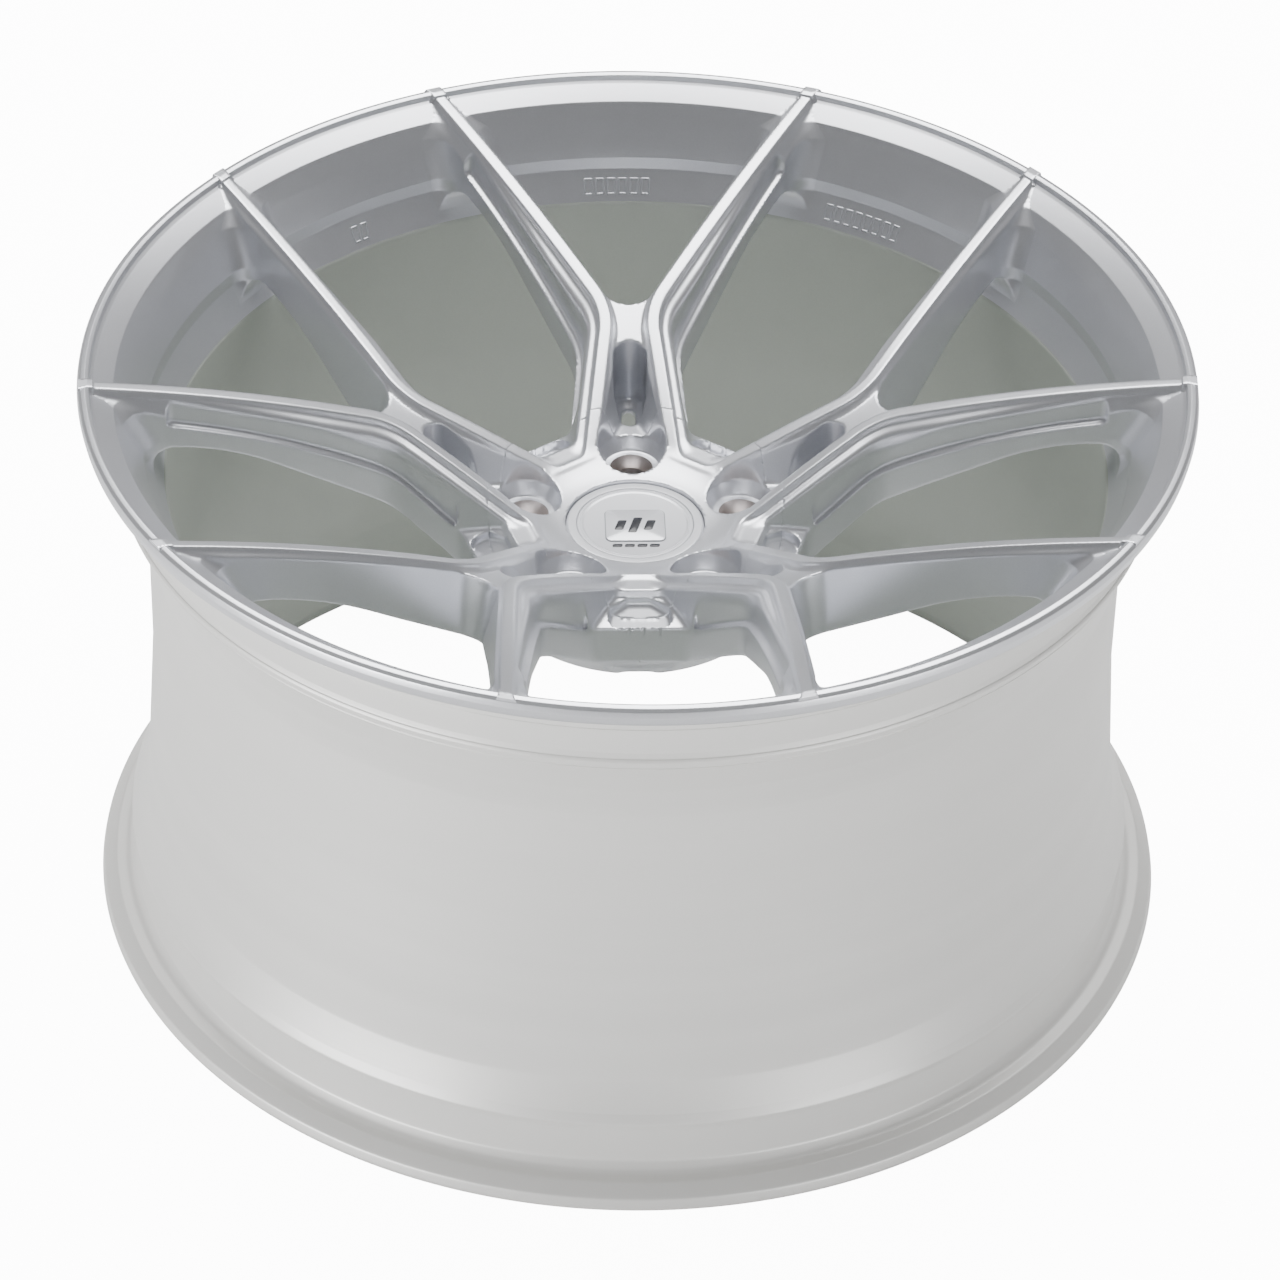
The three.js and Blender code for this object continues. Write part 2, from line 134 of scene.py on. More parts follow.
def roundedProfile(corners, closed=True, arcStep=12.0):
    # corners: (x, y, rounding). Each corner becomes an arc that touches both of its sides,
    # sampled every arcStep degrees. Gives the points and the corner that each belongs to.
    points, owners = [], []
    count = len(corners)
    for k in range(count):
        here = np.array(corners[k][:2], dtype=float)
        rounding = corners[k][2]
        if rounding <= 0 or (not closed and k in (0, count - 1)):
            points.append(here)
            owners.append(k)
            continue
        before = np.array(corners[k - 1][:2], dtype=float) - here
        after = np.array(corners[(k + 1) % count][:2], dtype=float) - here
        lengthBefore, lengthAfter = np.linalg.norm(before), np.linalg.norm(after)
        before /= lengthBefore
        after /= lengthAfter
        half = math.acos(max(-1, min(1, float(before @ after)))) / 2
        if half > math.radians(89.5):
            points.append(here)
            owners.append(k)
            continue
        reach = min(rounding / math.tan(half), 0.48 * lengthBefore, 0.48 * lengthAfter)
        radius = reach * math.tan(half)
        middle = (before + after) / np.linalg.norm(before + after)
        centre = here + middle * radius / math.sin(half)
        start = here + before * reach - centre
        sweep = math.pi - 2 * half
        turn = np.sign(start[0] * (here - centre)[1] - start[1] * (here - centre)[0])
        steps = max(2, int(math.ceil(math.degrees(sweep) / arcStep)))
        angle = turn * np.linspace(0, sweep, steps + 1)
        x = centre[0] + start[0] * np.cos(angle) - start[1] * np.sin(angle)
        y = centre[1] + start[0] * np.sin(angle) + start[1] * np.cos(angle)
        points.extend(np.stack([x, y], axis=1))
        owners.extend([k] * (steps + 1))
    return np.array(points), np.array(owners)


def withoutLongSides(profile, owners, longest):
    # Splits each side of a closed profile that is longer than the given length.
    points, tags = [], []
    for a, b, owner in zip(profile, np.roll(profile, -1, axis=0), owners):
        steps = max(1, int(math.ceil(np.linalg.norm(b - a) / longest)))
        points.append(a + (b - a) * (np.arange(steps) / steps)[:, None])
        tags.extend([owner] * steps)
    return np.concatenate(points), np.array(tags)


def weldedGrid(vertices, rows, columns, poles):
    # Faces of a grid closed both ways, whose rows in poles have shrunk to single points.
    faces = gridFaces(rows, columns)
    if not poles.any():
        return vertices, faces, np.arange(len(faces))
    index = np.arange(rows * columns).reshape(rows, columns)
    index[poles] = index[poles][:, :1]
    faces = index.ravel()[faces]
    triangles = np.concatenate([faces[:, [0, 1, 2]], faces[:, [0, 2, 3]]])
    source = np.tile(np.arange(len(faces)), 2)
    keep = (triangles[:, 0] != triangles[:, 1]) & (triangles[:, 1] != triangles[:, 2])
    keep &= triangles[:, 0] != triangles[:, 2]
    used, triangles = np.unique(triangles[keep], return_inverse=True)
    return vertices[used], triangles.reshape(-1, 3), source[keep]


def turned(name, corners, materials, body, segments=96, arcStep=15.0, longest=1e9, place=None, flutes=None, **rest):
    # A closed (radius, depth) profile carried once round the axis:
    # x = r cos t, y = r sin t, z = front plane - depth, or z = height where a place is given.
    # flutes = (count, size) adds size * cos(count t) to the radii that are at least 95 % of the largest.
    profile, owners = withoutLongSides(*roundedProfile(corners, True, arcStep), longest)
    area = np.sum(profile[:, 0] * np.roll(profile[:, 1], -1) - np.roll(profile[:, 0], -1) * profile[:, 1])
    if (area > 0) != (place is None):
        profile = profile[::-1]
        owners = np.roll(owners[::-1], -1)
    angle = np.linspace(0, 2 * math.pi, segments, endpoint=False)
    r = profile[:, :1] + 0 * angle
    if flutes:
        r = r + np.where(profile[:, :1] > 0.95 * profile[:, 0].max(), flutes[1] * np.cos(flutes[0] * angle), 0)
    z = (heightOf(profile[:, 1:]) if place is None else profile[:, 1:]) + 0 * angle
    vertices = np.stack([r * np.cos(angle), r * np.sin(angle), z], axis=-1).reshape(-1, 3)
    vertices, faces, source = weldedGrid(vertices, len(profile), segments, profile[:, 0] < 1e-6)
    if place is not None:
        vertices = vertices @ place[:3, :3].T + place[:3, 3]
    if isinstance(materials, dict):
        # material for each run of corners: {last corner: material}
        limits = sorted(materials)
        rest["zones"] = np.searchsorted(limits, owners[source // segments])
        materials = [materials[k] for k in limits]
    return makeObject(name, vertices, faces, materials, body, **rest)


def plate(outline, steps):
    # A flat piece of any outline: rows are the outline moved inwards by an inset and set to a
    # height, columns run round the outline; the first and last rows shrink to its middle.
    middle = outline.mean(axis=0)
    ahead = np.roll(outline, -1, axis=0) - np.roll(outline, 1, axis=0)
    normal = np.stack([ahead[:, 1], -ahead[:, 0]], axis=1)
    normal /= np.linalg.norm(normal, axis=1, keepdims=True)
    rows = []
    for inset, high in [(None, steps[0][1])] + list(steps) + [(None, steps[-1][1])]:
        flat = np.tile(middle, (len(outline), 1)) if inset is None else outline - normal * inset
        rows.append(np.column_stack([flat, np.full(len(outline), high)]))
    vertices = np.concatenate(rows)
    poles = np.zeros(len(rows), dtype=bool)
    poles[[0, -1]] = True
    vertices, faces, _ = weldedGrid(vertices, len(rows), len(outline), poles)
    return vertices, faces[:, ::-1]


def joinMeshes(parts):
    # One vertex and face array from several.
    vertices, faces, start = [], [], 0
    for v, f in parts:
        vertices.append(v)
        faces.append(f + start)
        start += len(v)
    return np.concatenate(vertices), np.concatenate(faces)


def makeFinishGroup():
    # Fine flake, broad cloudiness and soft unevenness of the coat, as three plain values.
    group = bpy.data.node_groups.new("paintedFinish", "ShaderNodeTree")
    for label, value in (("Flake Scale", 900.0), ("Flake Amount", 0.1), ("Cloud Amount", 0.05)):
        group.interface.new_socket(label, in_out="INPUT", socket_type="NodeSocketFloat").default_value = value
    for label in ("Tone", "Roughness", "Height"):
        group.interface.new_socket(label, in_out="OUTPUT", socket_type="NodeSocketFloat")
    nodes, links = group.nodes, group.links
    source, result = nodes.new("NodeGroupInput"), nodes.new("NodeGroupOutput")
    place = nodes.new("ShaderNodeTexCoord")

    def noise(scale, detail):
        made = nodes.new("ShaderNodeTexNoise")
        made.inputs["Scale"].default_value = scale
        made.inputs["Detail"].default_value = detail
        links.new(place.outputs["Object"], made.inputs["Vector"])
        return made

    def maths(operation, a, b):
        made = nodes.new("ShaderNodeMath")
        made.operation = operation
        for socket, value in zip(made.inputs, (a, b)):
            if isinstance(value, (int, float)):
                socket.default_value = value
            else:
                links.new(value, socket)
        return made.outputs[0]

    flake = noise(900, 2)
    links.new(source.outputs["Flake Scale"], flake.inputs["Scale"])
    cloud = noise(9, 4)
    peel = noise(160, 1)
    flakePart = maths("MULTIPLY", maths("SUBTRACT", flake.outputs["Fac"], 0.5), source.outputs["Flake Amount"])
    cloudPart = maths("MULTIPLY", maths("SUBTRACT", cloud.outputs["Fac"], 0.5), source.outputs["Cloud Amount"])
    both = maths("ADD", flakePart, cloudPart)
    links.new(maths("ADD", both, 1.0), result.inputs["Tone"])
    links.new(both, result.inputs["Roughness"])
    grit = maths("MULTIPLY", flake.outputs["Fac"], 0.35)
    links.new(maths("ADD", grit, peel.outputs["Fac"]), result.inputs["Height"])
    return group


def makeTurningGroup():
    # Marks of a lathe: noise read only along the axis and outwards, so it forms rings.
    group = bpy.data.node_groups.new("turningMarks", "ShaderNodeTree")
    group.interface.new_socket("Scale", in_out="INPUT", socket_type="NodeSocketFloat").default_value = 900
    for label in ("Tone", "Height"):
        group.interface.new_socket(label, in_out="OUTPUT", socket_type="NodeSocketFloat")
    nodes, links = group.nodes, group.links
    source, result = nodes.new("NodeGroupInput"), nodes.new("NodeGroupOutput")
    place = nodes.new("ShaderNodeTexCoord")
    split = nodes.new("ShaderNodeSeparateXYZ")
    flat = nodes.new("ShaderNodeCombineXYZ")
    reach = nodes.new("ShaderNodeVectorMath")
    reach.operation = "LENGTH"
    across = nodes.new("ShaderNodeCombineXYZ")
    links.new(place.outputs["Object"], split.inputs[0])
    links.new(split.outputs[0], flat.inputs[0])
    links.new(split.outputs[1], flat.inputs[1])
    links.new(flat.outputs[0], reach.inputs[0])
    links.new(reach.outputs["Value"], across.inputs[0])
    links.new(split.outputs[2], across.inputs[2])
    fine = nodes.new("ShaderNodeTexNoise")
    fine.inputs["Detail"].default_value = 3
    links.new(across.outputs[0], fine.inputs["Vector"])
    links.new(source.outputs["Scale"], fine.inputs["Scale"])
    broad = nodes.new("ShaderNodeTexNoise")
    broad.inputs["Scale"].default_value = 45
    broad.inputs["Detail"].default_value = 2
    links.new(across.outputs[0], broad.inputs["Vector"])
    sway = nodes.new("ShaderNodeMath")
    sway.operation = "SUBTRACT"
    sway.inputs[1].default_value = 0.5
    links.new(broad.outputs["Fac"], sway.inputs[0])
    links.new(sway.outputs[0], result.inputs["Tone"])
    links.new(fine.outputs["Fac"], result.inputs["Height"])
    return group


finishGroup = makeFinishGroup()
turningGroup = makeTurningGroup()

# color, roughness, metallic, flake (scale, amount, clouds), coat, bump, rings
finishes = {
    "silverPaint": ((0.70, 0.71, 0.745), 0.34, 0.82, (1500.0, 0.13, 0.05), 0.3, 0.06, None),
    # barrel inside: a real change of finish behind the painted face, but its darker, greener colour is painted shade
    # and painted reflection of the enclosed barrel
    "shadedInnerCoat": ((0.52, 0.55, 0.505), 0.45, 0.45, (1300.0, 0.12, 0.10), 0.15, 0.06, None),
    "outerCoat": ((0.78, 0.775, 0.755), 0.44, 0.3, (1500.0, 0.06, 0.05), 0.15, 0.22, 900.0),
    "bareSeat": ((0.50, 0.455, 0.435), 0.36, 0.9, (600.0, 0.14, 0.25), 0.0, 0.35, 1500.0),
    "capLacquer": ((0.80, 0.81, 0.845), 0.32, 0.4, (1300.0, 0.05, 0.02), 0.4, 0.03, None),
    "badgeInk": ((0.012, 0.013, 0.018), 0.38, 0.0, (900.0, 0.08, 0.05), 0.2, 0.05, None),
    "badgeLine": ((0.30, 0.31, 0.33), 0.4, 0.3, (900.0, 0.05, 0.05), 0.0, 0.05, None),
    "markEdge": ((0.52, 0.53, 0.56), 0.4, 0.6, (1500.0, 0.10, 0.05), 0.1, 0.05, None),
    "springWire": ((0.42, 0.43, 0.44), 0.28, 1.0, (700.0, 0.06, 0.06), 0.0, 0.05, None),
    "blackNylon": ((0.022, 0.022, 0.024), 0.55, 0.0, (700.0, 0.10, 0.10), 0.0, 0.3, None),
    "blackRubber": ((0.018, 0.018, 0.018), 0.8, 0.0, (900.0, 0.15, 0.15), 0.0, 0.4, None),
    "anodised": ((0.58, 0.59, 0.60), 0.28, 0.95, (900.0, 0.04, 0.04), 0.0, 0.15, 2500.0),
    "turnedBrass": ((0.50, 0.37, 0.15), 0.3, 1.0, (900.0, 0.05, 0.06), 0.0, 0.15, 2500.0),
}


def makeMaterial(name, color, roughness, metallic, flake, coat, bump, rings):
    material = bpy.data.materials.new(name)
    material.use_nodes = True
    nodes, links = material.node_tree.nodes, material.node_tree.links
    shader = nodes["Principled BSDF"]
    shader.inputs["Metallic"].default_value = metallic
    shader.inputs["Coat Weight"].default_value = coat
    shader.inputs["Coat Roughness"].default_value = 0.15
    finish = nodes.new("ShaderNodeGroup")
    finish.node_tree = finishGroup
    for label, value in zip(("Flake Scale", "Flake Amount", "Cloud Amount"), flake):
        finish.inputs[label].default_value = value
    tone, height = finish.outputs["Tone"], finish.outputs["Height"]
    if rings:
        marks = nodes.new("ShaderNodeGroup")
        marks.node_tree = turningGroup
        marks.inputs["Scale"].default_value = rings
        blend = nodes.new("ShaderNodeMath")
        blend.operation = "MULTIPLY_ADD"
        blend.inputs[1].default_value = 0.10
        links.new(marks.outputs["Tone"], blend.inputs[0])
        links.new(tone, blend.inputs[2])
        tone, height = blend.outputs[0], marks.outputs["Height"]
    tint = nodes.new("ShaderNodeVectorMath")
    tint.operation = "SCALE"
    tint.inputs[0].default_value = color
    links.new(tone, tint.inputs["Scale"])
    links.new(tint.outputs[0], shader.inputs["Base Color"])
    rough = nodes.new("ShaderNodeMath")
    rough.inputs[1].default_value = roughness
    links.new(finish.outputs["Roughness"], rough.inputs[0])
    links.new(rough.outputs[0], shader.inputs["Roughness"])
    relief = nodes.new("ShaderNodeBump")
    relief.inputs["Strength"].default_value = bump
    relief.inputs["Distance"].default_value = 0.0002
    links.new(height, relief.inputs["Height"])
    links.new(relief.outputs[0], shader.inputs["Normal"])
    return material


paint = {name: makeMaterial(name, *values) for name, values in finishes.items()}
print("materials made:", len(paint))

studio = {
    "sky": 0.19,
    "floorGlow": 0.12,
    "floorBrightness": 12.0,  # what the camera itself sees of the floor
    # place, size, power
    "overhead": ((0.1, 0.9, 2.6), (2.4, 1.9), 136.0),
    "fromLeft": ((-2.6, -1.9, 0.14), (2.0, 0.27), 105.0),
    "fromRight": ((2.2, -2.7, 0.14), (1.6, 0.27), 46.0),
}


def makeStudio():
    size = 40.0
    mesh = bpy.data.meshes.new("floor")
    mesh.from_pydata([(-size, -size, 0), (size, -size, 0), (size, size, 0), (-size, size, 0)], [], [(0, 1, 2, 3)])
    floor = bpy.data.objects.new("floor", mesh)
    bpy.context.collection.objects.link(floor)
    material = bpy.data.materials.new("floorPaint")
    material.use_nodes = True
    nodes, links = material.node_tree.nodes, material.node_tree.links
    shader = nodes["Principled BSDF"]
    shader.inputs["Base Color"].default_value = (0.8, 0.8, 0.8, 1)
    shader.inputs["Roughness"].default_value = 0.9
    shader.inputs["Emission Color"].default_value = (1, 1, 1, 1)
    rays = nodes.new("ShaderNodeLightPath")
    glow = nodes.new("ShaderNodeMapRange")
    glow.inputs["To Min"].default_value = studio["floorGlow"]
    glow.inputs["To Max"].default_value = studio["floorBrightness"]
    links.new(rays.outputs["Is Camera Ray"], glow.inputs["Value"])
    links.new(glow.outputs[0], shader.inputs["Emission Strength"])
    mesh.materials.append(material)
    world = bpy.data.worlds.new("studio")
    world.use_nodes = True
    world.node_tree.nodes["Background"].inputs[0].default_value = (1, 1, 1, 1)
    world.node_tree.nodes["Background"].inputs[1].default_value = studio["sky"]
    bpy.context.scene.world = world
    for name in ("overhead", "fromLeft", "fromRight"):
        place, extent, power = studio[name]
        data = bpy.data.lights.new(name, "AREA")
        data.shape = "RECTANGLE"
        data.size, data.size_y = extent
        data.energy = power
        lamp = bpy.data.objects.new(name, data)
        lamp.location = place
        lamp.rotation_euler = (Vector((0, 0, 0.15)) - Vector(place)).to_track_quat("-Z", "Y").to_euler()
        bpy.context.collection.objects.link(lamp)


makeStudio()

rim = {
    "segments": 360,
    # radius, depth, rounding: from the front lip inwards down the face side
    "inside": [
        (269.6, -4.3, 1.2),
        (267.4, -4.8, 0.8),
        (265.6, -3.9, 0.6),
        (265.2, -1.4, 0.5),
        (263.6, -0.3, 0.6),
        (254.2, 5.2, 1.6),
        (248.9, 15.4, 3.0),
        (241.2, 31.5, 2.0),
        (240.0, 37.3, 3.0),
        (230.6, 53.3, 5.0),
        (230.2, 145, 30),
        (235.6, 225, 30),
        (238.5, 241, 10),
        (244.6, 262, 8),
        (247.0, 287, 6),
        (257.0, 301.6, 4),
        (262.0, 303.7, 1.5),
    ],
    # and from the rear lip back up the tyre side
    "outside": [
        (268.0, 303.7, 1.5),
        (270.8, 301.6, 1.5),
        (271.5, 299.2, 1.5),
        (270.6, 294.7, 2.5),
        (264.0, 289.8, 3.0),
        (257.5, 289.3, 5.0),
        (254.1, 284.6, 3.5),
        (253.3, 265.2, 2.0),
        (255.0, 261.2, 2.2),
        (252.5, 256.2, 3.0),
        (246.8, 240, 8.0),
        (244.2, 215, 12.0),
        (240.2, 150, 60.0),
        (240.2, 82, 14.0),
        (243.5, 64, 10.0),
        (252.2, 45.6, 3.0),
        (253.6, 43.4, 0.3),
        (253.3, 42.9, 0.1),
        (254.2, 41.8, 0.3),
        (255.0, 39, 1.2),
        (254.4, 37.6, 0.2),
        (253.9, 37.2, 0.1),
        (253.3, 34.5, 0.8),
        (253.7, 21.0, 0.2),
        (253.35, 20.5, 0.1),
        (253.75, 20.0, 0.2),
        (254.0, 14.5, 4.0),
        (257.5, 9.9, 4.0),
        (264.0, 9.4, 4.0),
        (270.6, 4.5, 2.5),
        (271.5, 0.0, 1.5),
        (270.9, -3.0, 1.2),
    ],
    "paintedTo": 8,  # the last corner of the inside that wears the face's paint
}


def makeRim():
    # One closed section carried round the axis; its corners are arcs.
    inner = len(rim["inside"])
    corners = rim["inside"] + rim["outside"]
    turned(
        "rim_barrel_skin",
        corners,
        {
            rim["paintedTo"]: paint["silverPaint"],
            # inside of the barrel: its darker, greenish colour is painted shade and painted reflection, not the
            # metal's own tone
            inner - 1: paint["shadedInnerCoat"],
            len(corners) - 5: paint["outerCoat"],
            len(corners) - 1: paint["silverPaint"],
        },
        "wheel",
        segments=rim["segments"],
        arcStep=10,
        longest=12,
        replaced=["rim_barrel"],
        slotName="barrel_metal",
        sharp=50,
    )


makeRim()
print("rim made")

spoke = {
    "cell": 0.94,
    "hubCell": 1.0,
    "ridgeHalf": 3.0,
    "ridgeTip": (268.2, 110.7),
    "ridgeKnee": (122.7, 10.78),
    "ridgeBend": 32.0,
    "hubCorner": (45.3, 21.1),
    "hubBend": 9.0,
    "hubEnd": (39.64, 28.8),
    "wallTip": (261.5, 112.5),
    "wallKnee": (118.3, 26.0),
    "wallBend": 22.5,
    "wallCorner": (57.8, 32.8),
    "wallCornerBend": 14.0,
    "wallEnd": (53.4, 38.8),
    "smallWindowStart": 131.5,
    "smallWindowSlope": 0.7805,
    "notchRadius": 9.0,
    "slotWidth": 3.7,
    "slotInnerEnd": 25.5,
    "slotOuterEnd": 229.0,
    "stepRadii": [55, 110, 250],  # the step beside the ridge gets lower on its way out
    "stepDrops": [5.2, 4.2, 2.6],
    "stepWidth": 1.5,
    "ridgeTipHalf": 2.7,
    "windowLean": 8.5,
    "lugCircle": 56.0,
    # slots: place and radius of the outer circle, then of the inner one
    "shelf": (101.5, 8.6, 56.0, 17.0),
    "shelfDepth": 90.5,
    "deepPocket": (101.0, 8.6, 90.2, 8.6),
    "drain": (101.6, 3.6, 95.0, 3.6),
    "lugBoreRadius": 13.9,
    "lugBoreDepth": 98.0,
    "seatRadius": 10.85,
    "boltRadius": 8.9,
    "capRadius": 34.6,
    "capDepth": 97.5,
    "boreRadius": 29.0,
    "rearBore": (36.5, 122.7),  # radius, and depth where it begins
    "rimOverlap": 2.4,  # how far a leg's end reaches into the rim's metal
    "lipRadius": 270.7,
    "lipDepth": -4.75,
}


def bentPath(corners):
    # Straight runs between (x, y, rounding) corners, each corner an arc.
    return roundedProfile(corners, closed=False, arcStep=5.0)[0]


def signedDistance(x, y, path):
    # Distance from the path; positive to the left of its direction.
    a, b = path[:-1], path[1:]
    run = b - a
    length2 = np.sum(run * run, axis=1)
    best = np.full(x.shape, 1e18)
    side = np.zeros(x.shape)
    for k in range(len(a)):
        dx, dy = x - a[k, 0], y - a[k, 1]
        t = (dx * run[k, 0] + dy * run[k, 1]) / length2[k]
        low = -1e9 if k == 0 else 0.0
        high = 1e9 if k == len(a) - 1 else 1.0
        t = np.clip(t, low, high)
        ex, ey = dx - t * run[k, 0], dy - t * run[k, 1]
        d2 = ex * ex + ey * ey
        nearer = d2 < best
        best = np.where(nearer, d2, best)
        side = np.where(nearer, run[k, 0] * dy - run[k, 1] * dx, side)
    return np.sqrt(best) * np.sign(side)


class PlanField:
    # A plan distance, sampled once on a fine lattice and read back between its samples.
    def __init__(self, path, low, high, step=0.3):
        self.low, self.step = np.array(low, dtype=float), step
        x = np.arange(low[0], high[0] + step, step)
        y = np.arange(low[1], high[1] + step, step)
        self.values = signedDistance(x[:, None] + 0 * y[None, :], y[None, :] + 0 * x[:, None], path)

    def __call__(self, x, y):
        u = np.clip((x - self.low[0]) / self.step, 0, self.values.shape[0] - 1.001)
        v = np.clip((y - self.low[1]) / self.step, 0, self.values.shape[1] - 1.001)
        i, j = u.astype(np.int32), v.astype(np.int32)
        s, t = u - i, v - j
        f = self.values
        return (f[i, j] * (1 - s) + f[i + 1, j] * s) * (1 - t) + (f[i, j + 1] * (1 - s) + f[i + 1, j + 1] * s) * t


def makePlanFields():
    low, high = (0.0, -2.0), (276.0, 122.0)
    ridge = bentPath(
        [
            (*spoke["ridgeTip"], 0),
            (*spoke["ridgeKnee"], spoke["ridgeBend"]),
            (*spoke["hubCorner"], spoke["hubBend"]),
            (*spoke["hubEnd"], 0),
        ]
    )
    wall = bentPath(
        [
            (*spoke["wallTip"], 0),
            (*spoke["wallKnee"], spoke["wallBend"]),
            (*spoke["wallCorner"], spoke["wallCornerBend"]),
            (*spoke["wallEnd"], 0),
        ]
    )
    start, slope, notch = spoke["smallWindowStart"], spoke["smallWindowSlope"], spoke["notchRadius"]
    reach = 150.0
    smallWindow = bentPath(
        [
            (start + reach, -slope * reach, 0),
            (start, 0.0, notch),
            (start + reach, slope * reach, 0),
        ]
    )
    return {
        "ridge": PlanField(ridge, low, high),
        "wall": PlanField(wall, low, high),
        "smallWindow": PlanField(smallWindow, low, high),
    }


planFields = makePlanFields()


def smoothMax(a, b, k):
    # Greater of the two, with the corner between them rounded over a width k.
    h = np.clip(0.5 + 0.5 * (a - b) / k, 0.0, 1.0)
    return b + (a - b) * h + k * h * (1 - h)


def smoothMin(a, b, k):
    return -smoothMax(-a, -b, k)


radiusUnit = wheel["flangeRadius"]


def cubicDepth(r, c):
    x = r / radiusUnit - 0.6
    return radiusUnit * (c[0] + x * (c[1] + x * (c[2] + x * c[3])))


def ridgeDepth(r):
    return smoothMin(cubicDepth(r, (0.10842397, -0.39541494, 0.23126862, -0.08142115)), 90.6, 9.0)


# radius and depth: where the upright wall of the large window begins, and the back of the forging
wallTopTable = np.array(
    [[50, 115.5], [60, 113.5], [67.9, 111.7], [81.5, 99.9], [108.6, 79.2], [135.8, 61.9]]
    + [[163, 47.7], [190, 36.1], [217, 26.7], [244.4, 19.1], [280, 12.0]]
)
backTable = np.array(
    [[0, 134.6], [62, 134.6], [67.9, 133.5], [81.5, 119], [108.6, 97.6], [135.8, 79.5]]
    + [[163, 62.6], [190, 46.9], [217, 37.5], [244, 34.5], [280, 33]]
)


def tableDepth(r, table):
    # Catmull-Rom style: cubic through the table's points.
    x, y = table[:, 0], table[:, 1]
    slope = np.gradient(y, x)
    k = np.clip(np.searchsorted(x, r) - 1, 0, len(x) - 2)
    h = x[k + 1] - x[k]
    t = np.clip((r - x[k]) / h, 0, 1)
    t2, t3 = t * t, t * t * t
    return (
        (2 * t3 - 3 * t2 + 1) * y[k]
        + (t3 - 2 * t2 + t) * h * slope[k]
        + (-2 * t3 + 3 * t2) * y[k + 1]
        + (t3 - t2) * h * slope[k + 1]
    )


def slotDistance(u, v, uA, rA, uB, rB):
    # Distance outside a rounded slot round two circles on the middle line.
    length = uA - uB
    sine = (rB - rA) / length
    cosine = math.sqrt(1 - sine * sine)
    x, y = u - uB, np.abs(v)
    t = (x + y * sine / cosine) / length
    onSide = x * sine + y * cosine - rB
    nearB = np.hypot(x, y) - rB
    nearA = np.hypot(x - length, y) - rA
    return np.where(t <= 0, nearB, np.where(t >= 1, nearA, onSide))


def polygonDistance(x, y, corners):
    # Distance outside a convex polygon given counter-clockwise.
    best = np.full(x.shape, 1e18)
    insideAll = np.full(x.shape, -1e18)
    count = len(corners)
    for k in range(count):
        ax, ay = corners[k]
        bx, by = corners[(k + 1) % count]
        rx, ry = bx - ax, by - ay
        length2 = rx * rx + ry * ry
        t = np.clip(((x - ax) * rx + (y - ay) * ry) / length2, 0, 1)
        best = np.minimum(best, np.hypot(x - ax - t * rx, y - ay - t * ry))
        insideAll = np.maximum(insideAll, ((x - ax) * ry - (y - ay) * rx) / math.sqrt(length2))
    return np.where(insideAll > 0, best, insideAll)


sin36, cos36 = math.sin(math.radians(36)), math.cos(math.radians(36))
rimInside = np.array([(corner[1], corner[0]) for corner in rim["inside"][4:13]])


web = {
    # distance out from the middle of the hub, and depth of the top there
    "reach": [51.0, 54.0, 64.0, 66.0, 82.0, 90.0],
    "depth": [86.4, 85.7, 85.2, 88.6, 94.2, 97.0],
    "start": 50.6,
    "edge": 83.0,
    "backDepth": 115.0,
    "halfWidth": (15.0, 0.42),  # at 62 mm out, and its growth from there
    # the pocket's corners as (distance out, distance across), rounded afterwards
    "pocketOutline": [(70.6, -4.4), (74.2, -10.4), (77.2, -11.0), (77.2, 11.0), (74.2, 10.4), (70.6, 4.4)],
    "pocketRounding": 4.6,
    "pocketDepth": 93.0,
    "pocketSlope": 0.55,
}


